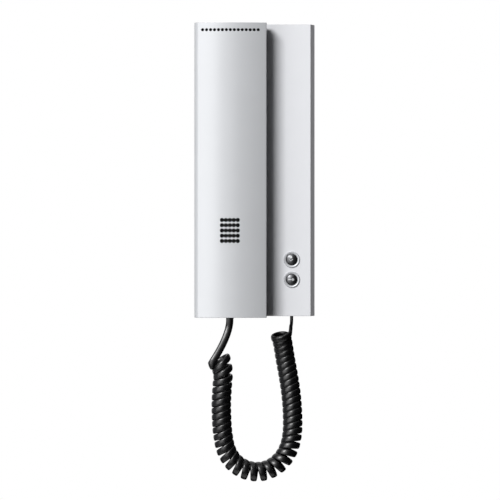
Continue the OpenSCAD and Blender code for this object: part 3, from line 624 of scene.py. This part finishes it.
    def rear_holes(self, bm: BMesh, screws: Pair) -> None:
        """Add the cutters of the sound holes and of the screws' holes, each with its rim.

        Args:
            bm: The shape that grows.
            screws: Heights of the two screws.
        """
        ear_z, outside, inside = self.z1 - self.ear_down, self.rear - PAST, self.rear + self.wall + PAST
        sound = [
            (self.x + r * math.cos(math.tau * k / n), ear_z + r * math.sin(math.tau * k / n), self.ear_hole_d)
            for r, n in self.ear_rings for k in range(n)
        ]
        sound.append((self.x, self.z0 + self.mic_up, self.mic_hole_d))
        holes = [(x, z, d / 2, self.flare, inside, self.hole_steps) for x, z, d in sound]
        head = (self.head_hole_d / 2, self.screw_rim, self.head_seat, self.screw_steps)
        holes += [(self.x, z, *head) for z in screws]
        for x, z, r, rim, end, steps in holes:
            lathe(bm, x, z, [
                (0.0, outside), (r + rim, outside), (r + rim, self.rear - SKIM), (r, self.rear + rim),
                (r, end), (0.0, end),
            ], steps)

    def rear_shell(self) -> Object:
        """Build the rear shell.

        Returns:
            The dressed piece.
        """
        bm = self.rear_solid(0.0, self.joint)
        round_edges(bm, lambda e: self.at_end(e) and e.verts[0].co.z < 0.0, self.end_round)
        round_edges(bm, self.on_joint, self.groove, segments=1)
        shell = as_object(bm, "handset_back")
        combine(shell, as_object(self.rear_solid(self.wall, self.joint + PAST), "hollow"), Cut.AWAY)
        screws = (self.z1 - self.screw_down, self.z0 + self.screw_up)
        bosses = bmesh.new()
        for z in screws:
            lathe(bosses, self.x, z, rod(self.boss_d / 2, self.boss_root, self.boss_end), self.screw_steps)
        combine(shell, as_object(bosses, "bosses"), Cut.JOIN)
        holes = bmesh.new()
        self.rear_holes(holes, screws)
        combine(shell, as_object(holes, "holes"), Cut.AWAY)
        slots = bmesh.new()
        for z in (-HOOK_Z, HOOK_Z):
            lift_prism(slots, self.x, z, self.slot, self.slot_root)
        self.plug_way(slots)
        combine(shell, as_object(slots, "slots"), Cut.AWAY)
        return dress(shell, HANDSET_SILVER, Body.HANDSET, ["handset_rear_shell"])

    def build(self) -> None:
        """Build both shells."""
        self.front_shell()
        self.rear_shell()


@dataclass
class BaseCover:
    """The drafted shell of the base, with its two slanted hooks."""

    width: float = 88.0
    lean: float = 3.0
    height: float = 215.0
    depth: float = BASE_DEPTH
    wall: float = WALL
    edge: float = 0.35
    edge_steps: int = 4
    hook: Triple = (10.0, 9.2, 3.2)
    hook_root: float = 1.2
    hook_round: float = 0.5
    hook_steps: int = 2
    ring_hole_d: float = 10.7
    plunger_hole_d: float = 5.2
    hole_steps: int = 48
    plug_half: float = 4.15
    plug_depths: Pair = (9.85, 18.15)
    screw_at: Pair = (-18.0, 7.5)
    screw_hole_d: float = 2.9
    screw_steps: int = 32

    def solid(self, inset: float, rear: float, front: float) -> BMesh:
        """Make the drafted block, drawn in by an inset.

        Args:
            inset: How far the sides and ends are drawn in.
            rear: Depth of the rear face.
            front: Depth of the front face.

        Returns:
            The block.
        """
        bm = bmesh.new()
        half_z = self.height / 2 - inset
        # The block starts 1 mm wide to each side, so scaling by half the width brings each end to its measure.
        verts = block(bm, at(-1.0, front, -half_z), at(1.0, rear, half_z))
        for depth in (rear, front):
            side = [v for v in verts if abs(v.co.y + depth * MM) < CLOSE]
            half = self.width / 2 - inset - self.lean * depth / self.depth
            bmesh.ops.scale(bm, verts=side, vec=(half, 1.0, 1.0))
        return bm

    def build(self) -> Object:
        """Build the cover.

        Returns:
            The dressed piece.
        """
        bm = self.solid(0.0, 0.0, self.depth)
        round_edges(bm, lambda e: any(v.co.y < -CLOSE for v in e.verts), self.edge, self.edge_steps)
        cover = as_object(bm, "base_shell")
        combine(cover, as_object(self.solid(self.wall, -PAST, self.depth - self.wall), "hollow"), Cut.AWAY)
        hooks = bmesh.new()
        for z in (-HOOK_Z, HOOK_Z):
            lift_prism(hooks, MIDDLE_X, z, self.hook, self.hook_root)
        round_edges(hooks, lambda e: True, self.hook_round, self.hook_steps)
        combine(cover, as_object(hooks, "hooks"), Cut.JOIN)
        holes = bmesh.new()
        inside, outside = self.depth - self.wall - PAST, self.depth + PAST
        places = [(BUTTON_X, z, self.ring_hole_d) for z in (DOOR_Z, LIGHT_Z)]
        places.append((PLUNGER_X, PLUNGER_Z, self.plunger_hole_d))
        for x, z, d in places:
            lathe(holes, x, z, rod(d / 2, inside, outside), self.hole_steps)
        bottom = -self.height / 2
        near, far = self.plug_depths
        low = at(BUTTON_X - self.plug_half, near, bottom - PAST)
        block(holes, low, at(BUTTON_X + self.plug_half, far, bottom + self.wall + PAST))
        x, d = self.screw_at
        radius = self.screw_hole_d / 2 * MM
        bmesh.ops.create_cone(
            holes, cap_ends=True, segments=self.screw_steps, radius1=radius, radius2=radius,
            depth=2 * (self.wall + PAST) * MM, matrix=Matrix.Translation(at(x, d, bottom)),
        )
        combine(cover, as_object(holes, "holes"), Cut.AWAY)
        return dress(cover, BASE_SILVER, Body.BASE, ["base_cover"])


@dataclass(frozen=True)
class Sign:
    """A plain mark on a cap: a disc and one stroke, from the middle of the cap."""

    disc: Triple
    stroke: tuple[Pair, ...]


DISC_AND_CHEVRON = Sign(
    (-0.55, 1.75, 0.95), ((-2.2, 0.05), (-0.55, -1.4), (1.1, 0.05), (0.75, 0.45), (-0.55, -0.7), (-1.85, 0.45))
)
DISC_AND_BAR = Sign((0.85, 0.0, 0.95), ((-2.6, -0.4), (-0.25, -0.4), (-0.25, 0.4), (-2.6, 0.4)))


@dataclass
class PushButton:
    """A round domed cap in its ring, with a mark on it."""

    name: str
    z: float
    body: Body
    sign: Sign
    x: float = BUTTON_X
    face: float = BASE_DEPTH
    ring_r: float = 6.0
    neck_r: float = 5.3
    bore_r: float = 4.3
    lip: float = 0.5
    lip_steps: int = 8
    rise: float = 1.1
    land: float = 0.15
    dish: float = 0.72
    mouth: float = 0.1
    ring_end: float = 19.0
    cap_r: float = 4.2
    cap_edge: float = 23.4
    cap_round: float = 0.35
    cap_turn: tuple[Pair, ...] = ((0.1, 0.2), (0.0, 0.5))
    dome: float = 1.0
    dome_steps: int = 10
    flange_r: float = 5.0
    flange: Pair = (17.6, 18.6)
    stem_r: float = 2.0
    stem_end: float = 13.2
    mark_foot: float = 0.3
    mark_rise: float = 0.12
    disc_steps: int = 24
    steps: int = 64

    def dome_depth(self, x: float, z: float) -> float:
        """Give the depth of the cap's face at a place, from the middle of the cap."""
        sphere = (self.cap_r**2 + self.dome**2) / (2 * self.dome)
        return self.cap_edge + self.dome - sphere + math.sqrt(sphere**2 - x**2 - z**2)

    def ring(self) -> Object:
        """Build the ring.

        Returns:
            The dressed piece.
        """
        crest = self.ring_r - self.lip
        turns = [math.pi / 2 * k / self.lip_steps for k in range(self.lip_steps + 1)]
        top, dish = self.face + self.rise, self.face + self.dish
        bm = bmesh.new()
        lathe(bm, self.x, self.z, [
            (self.bore_r, self.ring_end), (self.neck_r, self.ring_end), (self.neck_r, self.face),
            *((crest + self.lip * math.cos(a), self.face + self.rise * math.sin(a)) for a in turns),
            (crest - self.land, top - SKIM), (self.bore_r + self.mouth, dish), (self.bore_r, dish - self.mouth),
        ], self.steps, ring=True)
        return dress(as_object(bm, f"{self.name}_ring"), RING_SILVER, Body.BASE, [f"{self.name}_bezel"])

    def cap(self) -> Object:
        """Build the cap.

        Returns:
            The dressed piece.
        """
        inner = self.cap_r - self.cap_round
        radii = [inner * k / self.dome_steps for k in range(self.dome_steps + 1)]
        low = self.dome_depth(inner, 0.0)
        bm = bmesh.new()
        lathe(bm, self.x, self.z, [
            *((r, self.dome_depth(r, 0.0)) for r in radii),
            *((self.cap_r - inward, low - down) for inward, down in self.cap_turn),
            (self.cap_r, self.flange[1]), (self.flange_r, self.flange[1]), (self.flange_r, self.flange[0]),
            (self.stem_r, self.flange[0]), (self.stem_r, self.stem_end), (0.0, self.stem_end),
        ], self.steps)
        return dress(as_object(bm, f"{self.name}_cap"), CAP_CHROME, self.body, [f"{self.name}_button"])

    def mark(self) -> Object:
        """Build the raised mark on the cap.

        Returns:
            The dressed piece.
        """
        bm = bmesh.new()
        foot = self.cap_edge + self.mark_foot
        disc_x, disc_z, disc_r = self.sign.disc
        place = Matrix.Translation(at(self.x + disc_x, foot, self.z + disc_z))
        upright = Matrix.Rotation(math.pi / 2, 4, "X")
        bmesh.ops.create_circle(bm, segments=self.disc_steps, radius=disc_r * MM, matrix=place @ upright)
        outlines = [bm.edges[:]]
        stroke = [bm.verts.new(at(self.x + x, foot, self.z + z)) for x, z in self.sign.stroke]
        outlines.append(chained(bm, stroke))
        for edges in outlines:
            for v in pulled(bm, edges):
                x, z = v.co.x / MM - self.x, v.co.z / MM - self.z
                v.co.y = -(self.dome_depth(x, z) + self.mark_rise) * MM
        return dress(as_object(bm, f"{self.name}_mark"), MARK_SILVER, self.body)

    def build(self) -> None:
        """Build the ring, the cap and its mark."""
        self.ring()
        self.cap()
        self.mark()


@dataclass
class HookPlunger:
    """The sprung rod that feels whether the handset is in place."""

    x: float = PLUNGER_X
    z: float = PLUNGER_Z
    stem: Pair = (1.5, 13.2)
    flange: Triple = (5.5, 15.0, 16.2)
    pin: Pair = (2.3, 22.2)
    tip: tuple[Pair, ...] = ((0.0, 0.6), (0.25, 0.15), (0.7, 0.0))
    steps: int = 48

    def build(self) -> Object:
        """Build the plunger.

        Returns:
            The dressed piece.
        """
        r, end = self.pin
        bm = bmesh.new()
        lathe(bm, self.x, self.z, [
            (0.0, self.stem[1]), (self.stem[0], self.stem[1]), (self.stem[0], self.flange[1]),
            (self.flange[0], self.flange[1]), (self.flange[0], self.flange[2]), (r, self.flange[2]),
            *((r - inward, end - back) for inward, back in self.tip), (0.0, end),
        ], self.steps)
        return dress(as_object(bm, "hook_pin"), BASE_SILVER, Body.PLUNGER, ["hook_plunger"])


@dataclass
class FlatCord:
    """The flat cord: two straight ends and the curls between them, as one unbroken tube.

    The first curls are those by the handset, the last ones those by the base. The route is the middle line of the
    curls, and each pitch belongs to a share of the curls.
    """

    width: float = 4.65
    tail_width: float = 5.4
    thickness: float = 2.4
    squareness: float = 2.6
    tail_squareness: float = 2.0
    wide_share: float = 0.75
    first_narrowing: float = 0.24
    coil_d: float = 14.6
    curls: int = 42
    curl_slope: float = 0.18
    first_slope: float = 0.22
    first_curls: float = 3.0
    first_flare: float = 1.6
    flare_curls: float = 1.6
    last_slope: float = -0.2
    last_curls: float = 2.0
    last_flare: float = 1.1
    end_turn: float = 0.15
    reach: float = 5.0
    run: float = 3.9
    tail_run: float = 1.5
    handset_reach: Pair = (6.0, 14.0)
    base_reach: Pair = (4.0, 5.0)
    twist_pace: float = 2.2
    route_steps: int = 10
    tail_steps: int = 90
    curl_rings: int = 24
    sides: int = 16
    sharp: float = 60.0
    handset_end: Triple = (-18.6, -34.45, -108.65)
    base_end: Triple = (BUTTON_X, -13.45, -107.5)
    route: tuple[Triple, ...] = (
        (-26.5, -34, -139.2), (-23.6, -34, -147.8), (-24.2, -33, -159.6), (-24.8, -32.5, -171),
        (-24.6, -31.6, -182.5), (-23.8, -30.6, -193.5), (-21.2, -29.2, -206), (-15.2, -27.7, -215.4),
        (-6, -26.2, -220.9), (4.6, -24.6, -221.9), (14, -23.2, -218.4), (21.2, -21.9, -211.6),
        (25.6, -20.6, -203), (27.5, -19.4, -193), (27.7, -18.4, -182.5), (27.2, -17.6, -172),
        (26.1, -17.1, -161.5), (24.4, -17, -150.5), (22.4, -17.6, -139.6), (20.7, -20.4, -129.2),
        (19, -24.2, -120.4),
    )
    pitches: tuple[Pair, ...] = (
        (0, 6.05), (0.05, 5.85), (0.1, 4.9), (0.2, 4.65), (0.3, 5.2), (0.36, 5.65), (0.42, 6.15), (0.5, 6.15),
        (0.57, 5.45), (0.62, 4.8), (0.68, 4.6), (0.8, 4.55), (0.95, 4.55), (1, 4.55),
    )
    blend_from: Triple = (22.0, -20.0, -108.0)
    blend_to: Triple = (-16.5, -34.0, -108.0)

    @staticmethod
    def smooth(points: Sequence[Vector], steps: int) -> list[Vector]:
        """Draw a smooth line through points.

        Args:
            points: The points.
            steps: Steps from one point to the next.

        Returns:
            The line, which starts and ends at the first and the last point.
        """
        ends = [2 * points[0] - points[1], *points, 2 * points[-1] - points[-2]]
        line = []
        for a, b, c, d in zip(ends, ends[1:], ends[2:], ends[3:]):
            for k in range(steps):
                t = k / steps
                line.append(0.5 * (
                    2 * b + (c - a) * t + (2 * a - 5 * b + 4 * c - d) * t**2 + (3 * b - a - 3 * c + d) * t**3
                ))
        line.append(points[-1].copy())
        return line

    @staticmethod
    def between(value: float, table: Sequence[Pair]) -> float:
        """Read a value from a table of straight stretches."""
        for (a, low), (b, high) in zip(table, table[1:]):
            if value <= b:
                return low + (high - low) * (value - a) / (b - a)
        return table[-1][1]

    @staticmethod
    def way_at(line: Sequence[Vector], k: int) -> Vector:
        """Give the way a line runs at one of its points."""
        return (line[min(k + 1, len(line) - 1)] - line[max(k - 1, 0)]).normalized()

    def coil(self) -> tuple[list[Vector], list[Vector], list[Vector]]:
        """Work out the curls.

        Returns:
            The points of the curls with a straight run at each end, the way the flat side lies at each, and the
            way the cord leaves the curls at both ends.
        """
        line = self.smooth([Vector(p) for p in self.route], self.route_steps)
        along = [0.0]
        for a, b in zip(line, line[1:]):
            along.append(along[-1] + (b - a).length)
        total = along[-1]

        def point(s: float) -> Vector:
            """Give the point of the middle line at a distance along it."""
            s = min(max(s, 0.0), total)
            k = next(i for i in range(len(along) - 1) if along[i + 1] >= s)
            return line[k].lerp(line[k + 1], (s - along[k]) / (along[k + 1] - along[k]))

        def heading(s: float) -> Vector:
            """Give the way the middle line runs at a distance along it."""
            return (point(s + self.reach) - point(s - self.reach)).normalized()

        count = self.curls * self.curl_rings
        steps = [0.0]
        for k in range(count):
            steps.append(steps[-1] + self.between(k / count, self.pitches))
        tight = (self.coil_d - self.thickness) / 2
        points, wides, runs = [], [], []
        for k in range(count + 1):
            s = total * steps[k] / steps[-1]
            turn = k / self.curl_rings
            to_go = self.curls - turn
            first = clamped(1.0 - turn / self.first_curls)
            last = clamped(1.0 - to_go / self.last_curls)
            r = tight + self.first_flare * clamped(1.0 - turn / self.flare_curls)
            r += self.last_flare * clamped(1.0 - to_go)
            a = math.pi + math.tau * turn
            t = heading(s)
            inward = Vector((-t.z, 0.0, t.x)).normalized()
            side = t.cross(inward)
            slope = self.curl_slope + self.first_slope * first + self.last_slope * last
            lean = slope * t.z**2 * math.cos(a)
            points.append(point(s) + r * (math.cos(a) * inward + math.sin(a) * side - lean * t))
            wides.append(t)
            if k in (0, count):
                rise = total / self.curls / math.tau
                runs.append((r * (math.cos(a) * side - math.sin(a) * inward) + rise * t).normalized())
        runs[0].negate()
        runs[1] = (runs[1] + self.end_turn * ACROSS).normalized()
        points = [points[0] + self.run * runs[0], *points, points[-1] + self.run * runs[1]]
        return points, [wides[0], *wides, wides[-1]], runs

    def tail(
        self, start: Vector, away: Vector, reach: Pair, end: Vector, near: Vector, far: Callable[[Vector], Vector]
    ) -> tuple[list[Vector], list[Vector]]:
        """Work out a straight end, from the curls to its plug.

        Args:
            start: Where it leaves the curls.
            away: The way it leaves them.
            reach: How far it keeps its way at the curls and at its plug.
            end: Where it meets its plug.
            near: The way the flat side lies at the curls.
            far: Gives the way it lies at the plug from the way the cord runs.

        Returns:
            Its points after the first, and the way the flat side lies at each.
        """
        a, d = start + self.tail_run * away, end - self.tail_run * UP
        line = [start, *interpolate_bezier(a, a + reach[0] * away, d - reach[1] * UP, d, self.tail_steps), end]
        wides = []
        for k in range(len(line)):
            t = clamped(self.twist_pace * k / len(line))
            wides.append(near.lerp(far(self.way_at(line, k)), t * t * (3 - 2 * t)).normalized())
        return line[1:], wides[1:]

    def build(self) -> Object:
        """Build the cord.

        Returns:
            The dressed piece.
        """
        path, flats, ways = self.coil()
        line, wides = self.tail(
            path[0], ways[0], self.handset_reach, Vector(self.handset_end), flats[0], TO_WALL.cross
        )
        after, after_wides = self.tail(
            path[-1], ways[1], self.base_reach, Vector(self.base_end), flats[-1], lambda run: -TO_WALL
        )
        path = [*reversed(line), *path, *after]
        flats = [*reversed(wides), *flats, *after_wides]
        bm = bmesh.new()
        rings = []
        for k, (p, wide) in enumerate(zip(path, flats)):
            on_tail = clamped((k / len(line) - self.wide_share) / (1.0 - self.wide_share))
            on_curl = clamped((k - len(line)) / self.curl_rings)
            along = self.first_narrowing * on_tail + (1.0 - self.first_narrowing) * on_curl
            width = self.tail_width + (self.width - self.tail_width) * along
            power = 2 / (self.tail_squareness + (self.squareness - self.tail_squareness) * along)
            t = self.way_at(path, k)
            u = (wide - wide.dot(t) * t).normalized()
            v = t.cross(u)
            ring = []
            for j in range(self.sides):
                a = math.tau * j / self.sides
                c = math.copysign(abs(math.cos(a)) ** power, math.cos(a)) * width / 2
                s = math.copysign(abs(math.sin(a)) ** power, math.sin(a)) * self.thickness / 2
                ring.append(bm.verts.new((p + c * u + s * v) * MM))
            rings.append(chained(bm, ring))
        for a, b in zip(rings, rings[1:]):
            bmesh.ops.bridge_loops(bm, edges=a + b)
        for edges in (rings[0], rings[-1]):
            bmesh.ops.contextual_create(bm, geom=edges)
        nodes = ["handset_tail", "curly_cord", "base_tail"]
        cord = dress(as_object(bm, "cord"), CORD_BLACK, None, nodes, self.sharp)
        return cord

    def flex(self, cord: Object) -> None:
        """Bake the cord's place into its mesh."""
        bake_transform(cord)


class PlainParts:
    """The pieces of the frame whose shape is right as it is, with their finishes."""

    FINISHES: dict[Finish, tuple[str, ...]] = {
        PLATE_GREY: ("wall_plate",),
        ZINC_STEEL: (
            "cover_screw", "board_screws", "terminal_screws", "hook_spring", "handset_screws", "ballast_weight"
        ),
        BOARD_GREEN: ("circuit_board",),
        TERMINAL_GREEN: ("terminal_block",),
        TAPE_YELLOW: ("line_transformer", "speaker_leads"),
        SLEEVE_BLUE: ("smoothing_capacitor",),
        INNER_BLACK: ("control_chip", "hook_switch", "base_socket", "handset_socket"),
        RUBBER: ("door_dome", "light_dome", "earpiece_gasket", "microphone_boot"),
        CAN_METAL: ("earpiece", "microphone", "tone_speaker"),
        SCREEN_BLACK: ("speaker_screen", "vent_screen"),
        PLUG_BLACK: ("base_plug", "handset_plug"),
        LEAD_RED: ("earpiece_leads",),
        LEAD_BLUE: ("microphone_leads",),
    }

    def build(self) -> None:
        """Give each piece its finish."""
        for finish, nodes in self.FINISHES.items():
            for name in nodes:
                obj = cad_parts[name]
                if not obj.material_slots:
                    obj.data.materials.append(None)
                for holder in obj.material_slots:
                    holder.material = finish.material()
                LOG.info("%s has the finish %s", name, finish.name)


@dataclass(frozen=True)
class Card:
    """A card beside the phone: where it stands, seen from above, its lower and upper edge and how bright it is."""

    name: str
    line: tuple[Pair, ...]
    low: float
    high: float
    level: float
    glow: tuple[float, float, float, float] = (0.92, 0.95, 1.0, 1.0)

    def build(self) -> None:
        """Stand the card out of the camera's sight, where gloss on that side shows it."""
        bm = bmesh.new()
        foot = chained(bm, [bm.verts.new((x, y, self.low)) for x, y in self.line], closed=False)
        made = bmesh.ops.extrude_edge_only(bm, edges=foot)["geom"]
        top = [g for g in made if isinstance(g, BMVert)]
        bmesh.ops.translate(bm, verts=top, vec=UP * (self.high - self.low))
        card = as_object(bm, self.name)
        mat = Finish(self.name, "", colour=(0.01, 0.01, 0.01), roughness=0.9, specular=0.0).material()
        shader = mat.node_tree.nodes["Principled BSDF"]
        shader.inputs["Emission Color"].default_value = self.glow
        shader.inputs["Emission Strength"].default_value = self.level
        card.data.materials.append(mat)
        card.visible_camera = False


@dataclass(frozen=True)
class Lamp:
    """A soft lamp that looks at the phone.

    It stands some degrees to the left of straight in front and some above the level, at a distance in metres. Its
    power is in watts, and gloss shows its face or not.
    """

    name: str
    azimuth: float
    height: float
    distance: float
    size: Pair
    power: float
    glossy: bool = True

    def build(self) -> None:
        """Place the lamp."""
        data = bpy.data.lights.new(self.name, "AREA")
        data.shape = "RECTANGLE"
        data.size, data.size_y = self.size
        data.energy = self.power
        obj = bpy.data.objects.new(self.name, data)
        a, e = math.radians(self.azimuth), math.radians(self.height)
        way = Vector((-math.sin(a) * math.cos(e), -math.cos(a) * math.cos(e), math.sin(e)))
        obj.location = way * self.distance
        obj.rotation_euler = way.to_track_quat("Z", "Y").to_euler()
        obj.visible_camera = False
        obj.visible_glossy = self.glossy
        bpy.context.scene.collection.objects.link(obj)


@dataclass
class Studio:
    """The camera, the lamps, the cards, the pale surroundings and the floor, in metres."""

    eye: Triple = (-0.0037, -7.393, -0.0588)
    lens: float = 720.0
    sensor: float = 36.0
    sight: float = 20.0
    ambient: float = 0.12
    floor_z: float = -0.65
    floor_r: float = 0.4
    floor_steps: int = 96
    lamps: tuple[Lamp, ...] = (
        Lamp("key", 24.5, 29.0, 3.2, (1.2, 0.8), 110.0),
        Lamp("sheen", 36.0, -4.0, 2.6, (1.88, 1.38), 22.5),
        Lamp("back", 180.0, 20.0, 1.6, (1.0, 1.0), 12.0, glossy=False),
        Lamp("side", -105.0, 8.0, 1.0, (0.5, 0.8), 3.0, glossy=False),
    )
    cards: tuple[Card, ...] = (
        Card("dark_card", ((0.16, -2.2), (1.3, -0.2), (1.2, 0.4), (0.95, 1.3), (0.45, 2.2)), -1.8, 1.6, 0.0),
        Card("grey_card", ((-1.3, -0.75), (-1.3, 0.2), (-0.9, 1.0)), -1.4, 1.0, 0.35),
        Card("low_card", ((-1.0, -0.75), (1.0, -0.75)), -1.4, -0.62, 0.0),
        Card("rear_card", ((-0.8, 0.35), (0.8, 0.35)), -1.4, -0.3, 0.0),
    )

    def camera(self) -> None:
        """Place the camera level and straight in front."""
        data = bpy.data.cameras.new("camera")
        data.lens = self.lens
        data.sensor_width = self.sensor
        data.clip_end = self.sight
        obj = bpy.data.objects.new("camera", data)
        obj.location = self.eye
        obj.rotation_euler = (math.pi / 2, 0.0, 0.0)
        bpy.context.scene.collection.objects.link(obj)
        bpy.context.scene.camera = obj

    def surroundings(self) -> None:
        """Make the world white to the camera and to gloss, and dim as a fill light."""
        world = bpy.data.worlds.new("studio")
        bpy.context.scene.world = world
        world.use_nodes = True
        tree = world.node_tree
        tree.nodes.clear()
        path = tree.nodes.new("ShaderNodeLightPath")
        seen = path.outputs["Is Camera Ray"]
        for ray in ("Is Glossy Ray", "Is Transmission Ray"):
            either = tree.nodes.new("ShaderNodeMath")
            either.operation = "MAXIMUM"
            tree.links.new(seen, either.inputs[0])
            tree.links.new(path.outputs[ray], either.inputs[1])
            seen = either.outputs[0]
        mix = tree.nodes.new("ShaderNodeMixShader")
        tree.links.new(seen, mix.inputs[0])
        for place, strength in ((1, self.ambient), (2, 1.0)):
            light = tree.nodes.new("ShaderNodeBackground")
            light.inputs["Color"].default_value = WHITE
            light.inputs["Strength"].default_value = strength
            tree.links.new(light.outputs[0], mix.inputs[place])
        tree.links.new(mix.outputs[0], tree.nodes.new("ShaderNodeOutputWorld").inputs[0])

    def floor(self) -> None:
        """Lay the pale floor below the hanging cord, clear to a look from below."""
        bm = bmesh.new()
        place = Matrix.Translation((0.0, 0.0, self.floor_z))
        bmesh.ops.create_circle(bm, cap_ends=True, segments=self.floor_steps, radius=self.floor_r, matrix=place)
        floor = as_object(bm, "floor")
        mat = Finish("pale floor", "", colour=(0.86, 0.86, 0.86), roughness=0.8, grain=0.0).material()
        tree = mat.node_tree
        below = tree.nodes.new("ShaderNodeNewGeometry")
        clear = tree.nodes.new("ShaderNodeBsdfTransparent")
        mix = tree.nodes.new("ShaderNodeMixShader")
        tree.links.new(below.outputs["Backfacing"], mix.inputs[0])
        tree.links.new(tree.nodes["Principled BSDF"].outputs[0], mix.inputs[1])
        tree.links.new(clear.outputs[0], mix.inputs[2])
        tree.links.new(mix.outputs[0], tree.nodes["Material Output"].inputs["Surface"])
        floor.data.materials.append(mat)

    def build(self) -> None:
        """Set up the scene."""
        bpy.context.scene.view_settings.view_transform = "Standard"
        self.camera()
        self.surroundings()
        self.floor()
        for item in (*self.lamps, *self.cards):
            item.build()


def main() -> None:
    """Build the scene: the camera and the cord first, then the phone from the wall to the front."""
    logging.basicConfig(level=logging.INFO, format="%(message)s")
    Studio().build()
    cord = FlatCord()
    cord_piece = cord.build()
    PlainParts().build()
    BaseCover().build()
    PushButton("door", DOOR_Z, Body.DOOR, DISC_AND_CHEVRON).build()
    PushButton("light", LIGHT_Z, Body.LIGHT, DISC_AND_BAR).build()
    HookPlunger().build()
    Handset().build()
    cord.flex(cord_piece)


if __name__ == "__main__":
    main()
